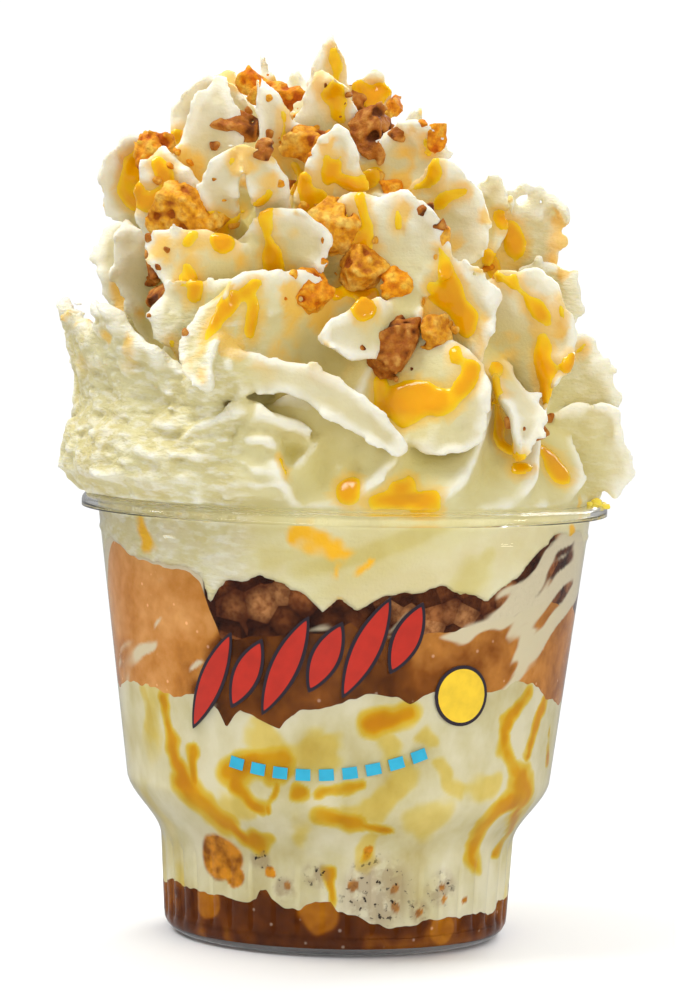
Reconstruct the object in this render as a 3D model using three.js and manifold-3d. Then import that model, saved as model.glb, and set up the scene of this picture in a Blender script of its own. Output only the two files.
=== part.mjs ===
// An ice cream sundae in a clear disposable cup: stewed fruit, soft ice cream, crust crumble and
// a tall head of piped whipped cream with broken crust pieces on it.
// Millimetres, +Z up. The origin is the centre of the cup's base, on the table. -Y is the front.
import * as THREE from 'three';
import { mergeVertices } from 'three/addons/utils/BufferGeometryUtils.js';
import Module from 'manifold-3d';

const manifold = await Module();
manifold.setup();

// ---- Driving dimensions of the cup ----
const RIM_RADIUS = 46; // the standard 92 mm lid size
const RIM_TOP = 76.7;
const LIP_HEIGHT = 2.4;
const WALL = 0.7;
const WALL_TOP_RADIUS = 43.1; // outside, just below the lip
const SHOULDER_TOP = 28;
const SHOULDER_RADIUS = 37.2;
const FOOT_TOP = 16.5;
const FOOT_TOP_RADIUS = 31;
const BASE_RADIUS = 27;
const CORNER = 3.2; // round edge between the base and the foot
const FOOT_LOW_RADIUS = BASE_RADIUS + CORNER;
const FLOOR = 1.1; // thickness of the cup's bottom
const FLOOR_RADIUS = FOOT_LOW_RADIUS - WALL - 1.6;
const FLUTES = 44;
const FLUTE_DEPTH = 0.35;
const CUP_SEGMENTS = 2 * FLUTES;
const GAP = 0.3; // between pieces that touch

// ---- Driving dimensions of the filling ----
const LAYER_SEGMENTS = 33;
const COMPOTE_TOP = 7;
const ICE_CREAM_TOP = 44;
const CREAM_FLOOR = 62.5;
const FRONT = -90; // degrees, the side that faces the viewer

const COLOURS = {
  cup: 0xf4f6f6,
  compote: 0x9a5a1c,
  iceCream: 0xf3edd2,
  apple: 0xc07a2c,
  crumble: 0x8f5a34,
  cream: 0xf6f2dc,
  crust: 0xb8762e,
  darkCrust: 0x8a4f22,
  orangeCrust: 0xd98a2a,
};

// ---- Small helpers ----
const radians = (degrees) => (degrees * Math.PI) / 180;
const mix = (a, b, t) => a + (b - a) * t;
const smooth = (t) => {
  const c = Math.min(Math.max(t, 0), 1);
  return c * c * (3 - 2 * c);
};
// A repeatable number from -1 to 1 for each seed.
const scatter = (seed) => {
  const s = Math.sin(seed * 127.1 + 311.7) * 43758.5453;
  return 2 * (s - Math.floor(s)) - 1;
};
// A bell of height 1 round an azimuth in degrees, `spread` degrees wide on each side.
const bell = (azimuth, centre, spread) => {
  const away = ((azimuth - centre + 540) % 360) - 180;
  return Math.exp(-((away / spread) ** 2));
};
const azimuthOf = (x, y) => (Math.atan2(y, x) * 180) / Math.PI;

function material(colour, roughness = 0.6, extra = {}) {
  return new THREE.MeshStandardMaterial({ color: colour, roughness, metalness: 0, ...extra });
}

// Leaves only merged positions, so that a solid's faces share their corners.
function weld(geometry) {
  geometry.deleteAttribute('normal');
  geometry.deleteAttribute('uv');
  return mergeVertices(geometry, 1e-4);
}

// Moves every corner of a geometry to where `place` puts it.
function warp(geometry, place) {
  const at = geometry.getAttribute('position');
  const corner = new THREE.Vector3();
  for (let i = 0; i < at.count; i += 1) {
    corner.fromBufferAttribute(at, i);
    place(corner);
    at.setXYZ(i, corner.x, corner.y, corner.z);
  }
  return geometry;
}

function solidOf(geometry) {
  const vertProperties = new Float32Array(geometry.getAttribute('position').array);
  const triVerts = new Uint32Array(geometry.getIndex().array);
  return new manifold.Manifold(new manifold.Mesh({ numProp: 3, vertProperties, triVerts }));
}

function geometryOf(solid) {
  const { vertProperties, triVerts } = solid.getMesh();
  const geometry = new THREE.BufferGeometry();
  geometry.setAttribute('position', new THREE.BufferAttribute(vertProperties, 3));
  geometry.setIndex(new THREE.BufferAttribute(triVerts, 1));
  return geometry;
}

// A turned solid about +Z from [radius, height] points that start and end on the axis.
function turned(points, segments) {
  const profile = points.map(([radius, height]) => new THREE.Vector2(radius, height));
  const geometry = new THREE.LatheGeometry(profile, segments);
  geometry.rotateX(Math.PI / 2);
  return weld(geometry);
}

// ---- The cup ----
// The outside radius of the wall: a fluted foot, an S-shaped shoulder and a tapered body.
function wallRadius(height) {
  if (height < CORNER) {
    const rise = 1 - height / CORNER;
    return BASE_RADIUS + CORNER * Math.sqrt(1 - rise * rise);
  }
  if (height < FOOT_TOP) {
    return mix(FOOT_LOW_RADIUS, FOOT_TOP_RADIUS, (height - CORNER) / (FOOT_TOP - CORNER));
  }
  if (height < SHOULDER_TOP) {
    const up = (height - FOOT_TOP) / (SHOULDER_TOP - FOOT_TOP);
    return mix(FOOT_TOP_RADIUS, SHOULDER_RADIUS, smooth(up));
  }
  const up = (height - SHOULDER_TOP) / (RIM_TOP - LIP_HEIGHT - SHOULDER_TOP);
  return mix(SHOULDER_RADIUS, WALL_TOP_RADIUS, Math.min(up, 1));
}
// The inside radius, with a slanted corner between the floor and the foot.
function innerRadius(height) {
  if (height < CORNER) {
    const rise = Math.max(height - FLOOR, 0) / (CORNER - FLOOR);
    return mix(FLOOR_RADIUS, FOOT_LOW_RADIUS - WALL, rise);
  }
  return wallRadius(height) - WALL;
}

// The wall, the floor and the lip, cut from one turned solid.
function cup() {
  const lip = RIM_TOP - LIP_HEIGHT;
  const foot = [CORNER * 0.3, CORNER, CORNER + 1, FOOT_TOP - 1, FOOT_TOP];
  const body = [20, 22.2, 25, SHOULDER_TOP];
  const rim = [
    [WALL_TOP_RADIUS, lip],
    [RIM_RADIUS, lip],
    [RIM_RADIUS, RIM_TOP - 0.5],
    [RIM_RADIUS - 0.5, RIM_TOP],
  ];
  const outside = [...foot, ...body].map((height) => [wallRadius(height), height]);
  const outer = turned([[0, 0], [BASE_RADIUS, 0], ...outside, ...rim, [0, RIM_TOP]], CUP_SEGMENTS);
  // Every second corner round the foot sinks a little, which leaves the flutes between.
  const sink = 1 - FLUTE_DEPTH / FOOT_LOW_RADIUS;
  warp(outer, (corner) => {
    const onFoot = corner.z > CORNER + 0.5 && corner.z < FOOT_TOP - 0.5;
    const step = Math.round((azimuthOf(corner.x, corner.y) / 360) * CUP_SEGMENTS);
    if (onFoot && step % 2 !== 0) {
      corner.x *= sink;
      corner.y *= sink;
    }
  });
  const inside = [CORNER, FOOT_TOP, ...body, lip].map((height) => [innerRadius(height), height]);
  const mouthRadius = WALL_TOP_RADIUS + 0.2;
  const mouth = [[mouthRadius, RIM_TOP], [mouthRadius, RIM_TOP + 1], [0, RIM_TOP + 1]];
  const hollow = turned([[0, FLOOR], [FLOOR_RADIUS, FLOOR], ...inside, ...mouth], FLUTES);
  return geometryOf(solidOf(outer).subtract(solidOf(hollow)));
}

// ---- The filling's layers ----
// Heights of the boundaries at the wall, which flatten towards the middle of the cup.
const BOUNDARIES = {
  floor: () => FLOOR + GAP,
  compoteTop: (az) => COMPOTE_TOP
    + 2.6 * bell(az, -98, 9)
    + 1.2 * Math.sin(radians(3 * az + 40))
    + 0.8 * Math.sin(radians(8 * az)),
  iceCreamTop: (az) => ICE_CREAM_TOP
    - 5 * bell(az, -108, 9)
    - 2.5 * bell(az, 180, 25)
    + 1.3 * Math.sin(radians(4 * az + 10))
    + 0.8 * Math.sin(radians(9 * az)),
  creamFloor: (az) => CREAM_FLOOR
    - 6 * bell(az, -84, 13)
    + 3 * bell(az, 192, 30)
    + 2.4 * bell(az, -25, 20)
    + 0.8 * Math.sin(radians(5 * az)),
};
// The crumble is thick at the front right and the back, and thin over the fruit on the left.
const crumbleDepth = (az) => 0.9
  + 6.8 * bell(az, -108, 13)
  + 8.4 * bell(az, -50, 26)
  + 6.5 * bell(az, 70, 55);
BOUNDARIES.appleTop = (az) => BOUNDARIES.creamFloor(az) - 2 * GAP - crumbleDepth(az);

// A layer that fills the cup between two boundaries, lifted by `gap` off the one below.
function layer(bottom, top, rows, gap = GAP) {
  const unit = [[0, 0], [0.55, 0], ...rows.map((row) => [1, row]), [0.55, 1], [0, 1]];
  const geometry = turned(unit, LAYER_SEGMENTS);
  return warp(geometry, (corner) => {
    const reach = Math.hypot(corner.x, corner.y);
    const az = azimuthOf(corner.x, corner.y);
    // The wall's waves fade towards the middle, where they meet the average of both sides.
    const level = (boundary) => {
      const mean = (boundary(FRONT) + boundary(0) + boundary(90) + boundary(180)) / 4;
      return reach < 1e-6 ? mean : mix(mean, boundary(az), reach);
    };
    const height = mix(level(bottom) + gap, level(top), corner.z);
    const radius = reach * (innerRadius(height) - GAP);
    corner.set(radius * Math.cos(radians(az)), radius * Math.sin(radians(az)), height);
  });
}

// ---- The whipped cream ----
// The middle of the head, which leans a little to the left as it rises.
const CORE = [
  [0, 72], [43, 73], [43, 78], [41, 81], [37.6, 86], [31, 100], [21.5, 117], [11, 133],
  [4, 142], [0, 143],
];
const RIDGES = 18;
const RIDGE_DEPTH = 3;
const TWIST = -1.2; // degrees of turn per millimetre of height
const LEAN_FROM = 95;
const LEAN = 0.16; // sideways per millimetre of height above LEAN_FROM

// Piped folds. Each is a blade along a bent spine from its foot to its tip. `face` is the azimuth
// that its broad side looks to, and `taper` how pointed its tip is.
const CURL = 2; // how far a fold's long edges and its tip bend back and forward
const FRONT_FOLDS = [
  // the crown
  { spine: [[-4.5, 1, 138], [-4.5, 0, 148], [-4.3, 1, 156]], width: 9, depth: 7, face: -90, taper: 0.7 },
  { spine: [[-12, 7, 138], [-14.5, 8, 146], [-16.7, 8, 154]], width: 6, depth: 4, face: -90, taper: 1 },
  { spine: [[-22, 8, 130], [-25, 11, 140], [-25.5, 12, 149]], width: 13, depth: 4.5, face: -90, taper: 0.1 },
  { spine: [[-23, -8, 118], [-26, -13, 134], [-22.8, -10, 148]], width: 17, depth: 5, face: -92, taper: 0.75 },
  { spine: [[-10, -8, 128], [-12.5, -14, 138], [-16, -11, 148]], width: 8, depth: 5.5, face: -85, taper: 0.7 },
  { spine: [[-5, -3, 132], [-4, -9.5, 141], [-5.3, -8, 149]], width: 12, depth: 5, face: -90, taper: 0.5 },
  { spine: [[0, 2, 138], [2, 1, 144], [3.5, 3, 149.5]], width: 9, depth: 5, face: -90 },
  { spine: [[4, 0, 128], [10, -2, 138], [11.5, -1, 144]], width: 5, depth: 4, face: -90, taper: 0.5 },
  // the second tier
  { spine: [[-4, -13, 120], [-3.5, -22, 131], [-2, -20, 139.5]], width: 11, depth: 6, face: -90, taper: 0.35 },
  { spine: [[-1, -8, 128], [6, -15, 135], [15.5, -13, 136.5]], width: 12, depth: 5.5, face: -85 },
  { spine: [[4, -8, 118], [15, -18, 125], [21.5, -15, 128]], width: 18, depth: 5, face: -80 },
  { spine: [[-6, -18, 112], [4, -29, 119], [15.5, -28, 120.5]], width: 22, depth: 5.5, face: -88 },
  { spine: [[-16, -17, 112], [-12, -29, 119], [-4.5, -28, 122]], width: 16, depth: 5, face: -85, taper: 0.2 },
  { spine: [[-18, -8, 117], [-26, -27, 130], [-18.5, -27, 135.8]], width: 5, depth: 5.5, face: -90 },
  { spine: [[-15, -8, 117], [-10, -27, 129], [-18.5, -27, 135.8]], width: 5, depth: 5.5, face: -90 },
  { spine: [[-22, -6, 112], [-30, -14, 124], [-32, -12, 135]], width: 16, depth: 8, face: -105, taper: 0.5 },
  { spine: [[-12, -18, 108], [-22, -31, 116], [-33, -24, 120]], width: 14, depth: 6, face: -95, taper: 0.4 },
  { spine: [[-10, -20, 98], [-22, -33, 106], [-30, -26, 111]], width: 17, depth: 7, face: -100, taper: 0.3 },
  { spine: [[-28, 4, 118], [-35, 3, 126], [-38.5, 3, 137.5]], width: 15, depth: 6, face: -90 },
  { spine: [[-26, 2, 102], [-34, -1, 112], [-38.5, 0, 122]], width: 14, depth: 6, face: -95, taper: 0.4 },
  // the third tier
  { spine: [[2, -22, 101], [-11, -36, 108], [-22, -37, 106]], width: 20, depth: 5, face: -82 },
  { spine: [[-15, -34, 112], [-28, -38, 107], [-22.5, -42, 97]], width: 6, depth: 6, face: -100 },
  { spine: [[-23, -39, 97], [-9, -45, 104], [8.5, -39, 87.5]], width: 6, depth: 6, face: -90 },
  { spine: [[10, -26, 107], [3, -36, 107], [-4, -37, 105]], width: 10, depth: 6, face: -90, taper: 0.2 },
  { spine: [[6, -18, 102], [16, -31, 111], [23.5, -28, 111]], width: 18, depth: 6, face: -80 },
  { spine: [[4, -24, 102], [14, -38, 97], [20.5, -34, 89]], width: 19, depth: 7, face: -85, taper: 0.3 },
  { spine: [[18, -12, 104], [30, -29, 99], [28, -30, 87]], width: 7, depth: 6, face: -60, taper: 0.2 },
  { spine: [[16, -8, 96], [27, -21, 106], [36, -20, 105]], width: 24, depth: 6, face: -70 },
  { spine: [[18, 6, 102], [27, 8, 117], [33, 9, 130]], width: 17, depth: 4.5, face: -85, taper: 0.1 },
  { spine: [[14, 4, 112], [20, 6, 122], [25, 6, 132]], width: 11, depth: 5, face: -85, taper: 0.3 },
  { spine: [[24, 4, 96], [32, 6, 108], [36, 8, 117]], width: 14, depth: 5, face: -85, taper: 0.2 },
  { spine: [[28, -4, 80], [37, -4, 93], [40, -2, 105]], width: 17, depth: 6, face: -75, taper: 0.3 },
  { spine: [[30, -6, 76], [39, -8, 86], [43.5, -5, 92]], width: 17, depth: 7, face: -70, taper: 0.2 },
  // the lower swirl
  { spine: [[-22, -30, 84], [-7, -40, 88], [7.5, -37, 87]], width: 15, depth: 6, face: -92, taper: 0.1 },
  { spine: [[-8, -28, 90], [-18, -35, 92], [-25, -32, 94]], width: 15, depth: 7, face: -98 },
];

// The slab on the left: [height, outside radius] and [azimuth, height of its ragged top].
const SLAB_LAYER = 5.2; // height of one of its layers
const SLAB_PEAKS = 18; // peaks and notches along its top
const SLAB_SIDE = [
  [74.5, 43.8], [76.5, 45.5], [78.6, 47.6], [80.7, 49.4], [84.9, 49.0], [89.2, 47.6],
  [93.4, 46.2], [97.6, 47.4], [101.8, 48.9], [106, 50.4], [112, 51.5],
];
const SLAB_TOP = [
  [-225, 76], [-205, 96], [-190, 103], [-176, 108.5], [-162, 108], [-156, 107], [-149, 112.5],
  [-142, 109], [-133, 104], [-125, 98.5], [-118, 93], [-114, 88.5], [-111, 92], [-106, 90.5],
  [-103, 83], [-99.5, 77], [-97, 75],
];

// The far side has four tiers of the same folds, uneven in size and lean.
const BACK_TIERS = [
  { count: 7, from: 20, to: 160, radius: 39, low: 77, high: 103, width: 21, depth: 9 },
  { count: 6, from: 28, to: 158, radius: 31, low: 94, high: 121, width: 20, depth: 8 },
  { count: 5, from: 30, to: 150, radius: 22, low: 108, high: 135, width: 17, depth: 7 },
  { count: 3, from: 45, to: 135, radius: 11, low: 124, high: 147, width: 13, depth: 6 },
];

function backFolds() {
  return BACK_TIERS.flatMap((tier, t) => Array.from({ length: tier.count }, (_, n) => {
    const seed = 10 * t + n;
    const az = mix(tier.from, tier.to, n / (tier.count - 1)) + 5 * scatter(seed);
    const high = tier.high + 3 * scatter(seed + 50);
    const lean = LEAN * Math.max(high - LEAN_FROM, 0);
    const at = (reach, turn, height) => [
      reach * Math.cos(radians(az + turn)) - lean,
      reach * Math.sin(radians(az + turn)),
      height,
    ];
    return {
      spine: [
        at(tier.radius - 12, -6, tier.low),
        at(tier.radius + 3, 2, mix(tier.low, high, 0.5)),
        at(tier.radius + 3 + scatter(seed + 90), 10, high),
      ],
      width: tier.width * (1 + 0.15 * scatter(seed + 20)),
      depth: tier.depth,
      face: az + 25 * scatter(seed + 70),
      taper: 0.2 + 0.2 * scatter(seed + 30),
      rows: 4,
    };
  }));
}

// A round form warped into a blade that is widest past its middle and thin at its tip.
function fold({ spine, width, depth, face, taper = 0, rows = 5 }) {
  const looks = new THREE.Vector3(Math.cos(radians(face)), Math.sin(radians(face)), 0);
  const bends = [0, -0.3 * CURL, 1.5 * CURL];
  const points = spine.map((p, n) => new THREE.Vector3(...p).addScaledVector(looks, bends[n]));
  const curve = new THREE.QuadraticBezierCurve3(...points);
  const geometry = weld(new THREE.SphereGeometry(1, 6, rows));
  return warp(geometry, (corner) => {
    const t = (1 + corner.y) / 2;
    const ring = Math.sqrt(Math.max(1 - corner.y ** 2, 1e-9));
    const pole = ring < 1e-4;
    const swell = Math.sqrt(ring) * mix(0.85, 1, smooth(t)) * mix(1, 1 - 0.6 * t, taper);
    const along = pole ? 0 : (corner.x / ring) * swell;
    const through = pole ? 0 : (corner.z / ring) * Math.sqrt(ring);
    const tangent = curve.getTangent(t);
    const side = new THREE.Vector3().crossVectors(tangent, looks).normalize();
    const out = new THREE.Vector3().crossVectors(side, tangent).normalize();
    const thickness = (depth / 2) * mix(1.15, 0.6, t);
    corner.copy(curve.getPoint(t))
      .addScaledVector(side, along * 0.55 * width)
      .addScaledVector(out, through * thickness - CURL * along * along * 0.6);
  });
}

// The middle of the head, with piped ridges that wind round it as it rises and leans.
function creamCore() {
  const geometry = turned(CORE, 2 * RIDGES);
  return warp(geometry, (corner) => {
    const reach = Math.hypot(corner.x, corner.y);
    const step = Math.round((azimuthOf(corner.x, corner.y) / 180) * RIDGES);
    const ridge = step % 2 === 0 ? RIDGE_DEPTH * smooth((corner.z - 77) / 8) : 0;
    const az = radians(azimuthOf(corner.x, corner.y) - TWIST * (corner.z - RIM_TOP));
    const radius = reach < 1e-6 ? 0 : reach + ridge;
    corner.x = radius * Math.cos(az) - LEAN * Math.max(corner.z - LEAN_FROM, 0);
    corner.y = radius * Math.sin(az);
  });
}

// The value at `at` along straight lines through [place, value] points.
function between(points, at) {
  const next = points.findIndex(([place]) => place > at);
  if (next === 0) return points[0][1];
  if (next < 0) return points[points.length - 1][1];
  const [[from, low], [to, high]] = [points[next - 1], points[next]];
  return mix(low, high, (at - from) / (to - from));
}

// The torn slab that leans out over the rim on the left, in overhanging layers.
function creamSlab() {
  const low = SLAB_SIDE[0][0];
  const first = SLAB_TOP[0][0];
  const last = SLAB_TOP[SLAB_TOP.length - 1][0];
  const geometry = weld(new THREE.BoxGeometry(1, 1, 1, SLAB_PEAKS, 1, 4));
  return warp(geometry, (corner) => {
    const share = 0.5 - corner.x;
    const az = mix(first, last, share);
    const ragged = 1.1 * scatter(Math.round(SLAB_PEAKS * share));
    const high = Math.max(between(SLAB_TOP, az) + ragged, low + 1);
    const height = mix(low, high, corner.z + 0.5);
    const layers = Math.abs(((height - 0.07 * az) / SLAB_LAYER) % 1) - 0.5;
    const outside = between(SLAB_SIDE, height) - 2.5 * smooth((az + 128) / 22) + layers;
    const thick = mix(8.5, 3.2, smooth((height - 80) / 26));
    const radius = corner.y > 0 ? outside : outside - thick;
    corner.set(radius * Math.cos(radians(az)), radius * Math.sin(radians(az)), height);
  });
}

// What the cream keeps clear of: the cup's wall and the top of its rim.
function rimClearance() {
  const outer = RIM_RADIUS + 20;
  const top = RIM_TOP + GAP;
  const points = [
    [innerRadius(RIM_TOP) - GAP, 45],
    [outer, 45],
    [outer, top],
    [innerRadius(RIM_TOP) - GAP, top],
    [innerRadius(RIM_TOP) - GAP, 45],
  ];
  return turned(points, CUP_SEGMENTS);
}

function whippedCream(crusts) {
  let cream = solidOf(layer(BOUNDARIES.creamFloor, () => RIM_TOP + 2, [0, 0.5, 1], 0));
  cream = cream.add(solidOf(creamCore())).add(solidOf(creamSlab()));
  for (const shape of [...FRONT_FOLDS, ...backFolds()]) {
    cream = cream.add(solidOf(fold(shape)));
  }
  cream = cream.subtract(solidOf(rimClearance()));
  for (const pocket of crusts) {
    cream = cream.subtract(solidOf(pocket));
  }
  return geometryOf(cream);
}

// ---- The crust pieces on the cream ----
// [x, y, z] of the middle, [across, deep, tall] in size, turn about the depth axis and tint.
const CRUSTS = [
  { at: [-20.5, -13, 140.6], size: [10.5, 6, 5.2], turn: 8, tint: 'darkCrust' },
  { at: [-27.6, -22, 125.5], size: [12.5, 8, 11], turn: 25, tint: 'crust' },
  { at: [-17.6, -2, 148.4], size: [5.8, 4.5, 4.6], turn: 0, tint: 'orangeCrust' },
  { at: [-12.8, -6, 146], size: [9, 4.5, 5], turn: 8, tint: 'orangeCrust' },
  { at: [-7.6, -15.5, 138], size: [9, 6, 7], turn: 30, tint: 'crust' },
  { at: [3.4, -12, 139.8], size: [7.5, 6, 10.5], turn: -15, tint: 'darkCrust' },
  { at: [-0.6, 0.5, 145], size: [6, 5, 6.5], turn: 30, tint: 'darkCrust' },
  { at: [-2.8, -27, 124.2], size: [7, 6, 9.4], turn: 20, tint: 'crust' },
  { at: [2.6, -28.5, 117], size: [8, 6, 7], turn: 35, tint: 'crust' },
  { at: [8.6, -29.5, 114.8], size: [7.6, 4, 5.4], turn: -35, tint: 'orangeCrust' },
  { at: [-6.6, -32.5, 112.2], size: [7, 4.5, 8], turn: -12, tint: 'orangeCrust' },
  { at: [7.2, -33, 105], size: [7.6, 6.5, 11], turn: 8, tint: 'darkCrust' },
  { at: [15.2, -33, 105.8], size: [5.4, 5, 6.8], turn: -25, tint: 'crust' },
  { at: [-33, -5, 134], size: [7.5, 6, 10.5], turn: 35, tint: 'orangeCrust' },
  { at: [-33.5, -5.5, 117.6], size: [4.2, 5, 6.6], turn: 0, tint: 'darkCrust' },
  { at: [-31.5, -10, 110], size: [4.8, 6, 9], turn: -15, tint: 'darkCrust' },
  { at: [31, -28.5, 90], size: [6.2, 5, 4.6], turn: 15, tint: 'darkCrust' },
  { at: [-30, 18, 124], size: [9, 8, 7], turn: 20, tint: 'crust' },
  { at: [-14, 27, 131], size: [9, 7, 7.5], turn: -25, tint: 'darkCrust' },
  { at: [4, 30, 124], size: [8, 7, 9], turn: 35, tint: 'crust' },
  { at: [-9, 16, 143], size: [8, 6, 6], turn: 10, tint: 'orangeCrust' },
  { at: [20, 27, 111], size: [9, 8, 7], turn: -15, tint: 'crust' },
  { at: [-19, 36, 110], size: [8, 7, 9], turn: 30, tint: 'darkCrust' },
];

// An irregular broken lump, grown by `extra` on all sides.
function crustLump({ at, size, turn }, seed, extra = 0) {
  const geometry = weld(new THREE.DodecahedronGeometry(1, 0));
  warp(geometry, (corner) => {
    const key = Math.round(corner.x * 9) + 7 * Math.round(corner.y * 9) + 31 * Math.round(corner.z * 9);
    corner.multiplyScalar(1 + 0.14 * scatter(key + 101 * seed));
    corner.set(
      corner.x * (size[0] / 2 + extra),
      corner.y * (size[1] / 2 + extra),
      corner.z * (size[2] / 2 + extra),
    );
  });
  geometry.rotateY(radians(turn));
  return geometry.translate(...at);
}

// ---- Assembly ----
const group = new THREE.Group();
function add(name, geometry, finish) {
  const mesh = new THREE.Mesh(geometry, finish);
  mesh.name = name;
  group.add(mesh);
}

const tall = [0, 0.22, 0.28, 0.34, 0.4, 0.46, 0.54, 0.62, 1];
const clear = { transparent: true, opacity: 0.3 };
add('cup', cup(), material(COLOURS.cup, 0.08, clear));
add('compote_bottom', layer(BOUNDARIES.floor, BOUNDARIES.compoteTop, [0, 0.35, 1], 0),
  material(COLOURS.compote, 0.35));
add('ice_cream', layer(BOUNDARIES.compoteTop, BOUNDARIES.iceCreamTop, tall),
  material(COLOURS.iceCream, 0.45));
add('compote_middle', layer(BOUNDARIES.iceCreamTop, BOUNDARIES.appleTop, [0, 1]),
  material(COLOURS.apple, 0.35));
add('crust_layer', layer(BOUNDARIES.appleTop, (az) => BOUNDARIES.creamFloor(az) - GAP, [0, 1]),
  material(COLOURS.crumble, 0.8));
const pockets = CRUSTS.map((crust, n) => crustLump(crust, n, GAP));
add('whipped_cream', whippedCream(pockets), material(COLOURS.cream, 0.5));
CRUSTS.forEach((crust, n) => {
  const name = `crust_piece_${String(n + 1).padStart(2, '0')}`;
  add(name, crustLump(crust, n), material(COLOURS[crust.tint], 0.75));
});

export default group;
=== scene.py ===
# The looks of an ice cream sundae in its clear cup. The cream, the sauce and the crumbs are signed
# distance fields turned into meshes. Places are in millimetres in the frame's own axes: -Y is the
# front and the origin is the middle of the cup's base.
import math

import bpy
import numpy as np
import openvdb
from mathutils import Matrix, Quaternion, Vector


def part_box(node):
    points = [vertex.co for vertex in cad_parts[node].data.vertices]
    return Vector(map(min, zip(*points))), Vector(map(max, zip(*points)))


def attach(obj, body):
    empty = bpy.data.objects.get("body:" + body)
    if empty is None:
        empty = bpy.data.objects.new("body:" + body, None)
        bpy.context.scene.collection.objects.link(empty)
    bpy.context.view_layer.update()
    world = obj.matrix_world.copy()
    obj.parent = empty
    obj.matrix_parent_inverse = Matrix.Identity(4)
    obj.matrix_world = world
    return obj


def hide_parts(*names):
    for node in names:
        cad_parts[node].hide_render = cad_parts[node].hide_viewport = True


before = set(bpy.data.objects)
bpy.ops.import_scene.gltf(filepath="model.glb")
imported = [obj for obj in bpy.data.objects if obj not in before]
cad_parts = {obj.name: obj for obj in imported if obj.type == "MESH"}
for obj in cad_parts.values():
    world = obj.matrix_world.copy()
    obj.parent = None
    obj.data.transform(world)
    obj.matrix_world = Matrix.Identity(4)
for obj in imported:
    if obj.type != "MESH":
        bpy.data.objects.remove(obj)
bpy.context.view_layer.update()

MM = 0.001

# ---- The cup, as in the CAD ----
RIM_RADIUS = 46
RIM_TOP = 76.7
LIP_HEIGHT = 2.4
WALL = 0.7
WALL_TOP_RADIUS = 43.1
WALL_LIP = 0.5
SHOULDER_TOP = 28
SHOULDER_RADIUS = 37.2
FOOT_TOP = 16.5
FOOT_TOP_RADIUS = 31
BASE_RADIUS = 27
CORNER = 3.2
FOOT_LOW_RADIUS = BASE_RADIUS + CORNER
FLOOR = 1.1
FLUTES = 44
FLUTE_DEPTH = 0.6
SUNK = 0.3  # how far the filling reaches into the wall

# ---- The camera ----
EYE = np.array((0.0, -742.0, 123.0))
AIM = (-1.07, 0, 75.8)
ROLL = 1.3  # degrees
LENS = 152.7

# ---- The cream ----
CREAM_STEP = 0.6  # the voxel's side
KEPT_FACES = 0.42  # the share of the cream's faces that is kept, away from the wall
CREAM_LOW = (-56, -50, 52)
CREAM_HIGH = (56, 50, 159)
LEAN_FROM = 95
LEAN = 0.16  # sideways per millimetre of height above LEAN_FROM
RIDGES = 18  # piped ridges round the head
TWIST = -1.2  # degrees of turn per millimetre of height
# The head's middle: radii and heights.
CORE = [
    (43.8, 70), (43.2, 77.5), (41.4, 80.5), (37.6, 86), (34, 93), (30, 103),
    (25, 112), (19, 121), (14, 129), (9, 136), (4, 142),
]
CORE_TOP = 143

WHITE = (255, 255, 255)
BLACK = (0, 0, 0)


# ---- Numbers ----
def smooth(t):
    t = np.clip(t, 0, 1)
    return t * t * (3 - 2 * t)


def mix(a, b, t):
    return a + (b - a) * t


def scatter(seed):
    """A repeatable number from -1 to 1."""
    s = math.sin(seed * 127.1 + 311.7) * 43758.5453
    return 2 * (s - math.floor(s)) - 1


def wave(az, times, shift=0):
    return np.sin(np.radians(times * az + shift))


def dot(a, b):
    return sum(u * v for u, v in zip(a, b))


def unit(vector):
    size = np.sqrt(dot(vector, vector)) + 1e-9
    return [v / size for v in vector]


def cross(a, b):
    return [a[1] * b[2] - a[2] * b[1], a[2] * b[0] - a[0] * b[2], a[0] * b[1] - a[1] * b[0]]


def to_segment(x, y, z, a, b):
    """How far along from a to b each point's nearest place is, from 0 to 1, and its squared gap."""
    along = b - a
    dots = (x - a[0]) * along[0] + (y - a[1]) * along[1] + (z - a[2]) * along[2]
    share = np.clip(dots / max(along @ along, 1e-9), 0, 1)
    gap = (
        (x - a[0] - share * along[0]) ** 2
        + (y - a[1] - share * along[1]) ** 2
        + (z - a[2] - share * along[2]) ** 2
    )
    return share, gap


def between(values, low, f):
    """A lattice's values between its corners, `f` of the way on from the corners `low`."""
    total = 0
    for corner in np.ndindex(2, 2, 2):
        weight = np.prod([f[:, k] if c else 1 - f[:, k] for k, c in enumerate(corner)], axis=0)
        i, j, k = ((low + corner) % values.shape).T
        total = total + weight * values[i, j, k]
    return total


class PointNoise:
    """Smooth noise of about -1 to 1 at any points, from a lattice that repeats."""

    SIDE = 32

    def __init__(self, seed):
        self.lattice = np.random.default_rng(seed).uniform(-1, 1, (self.SIDE,) * 3)

    def __call__(self, points, cell):
        at = np.asarray(points) / np.asarray(cell) + 100
        low = np.floor(at).astype(int)
        return between(self.lattice, low, smooth(at - low))


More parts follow.
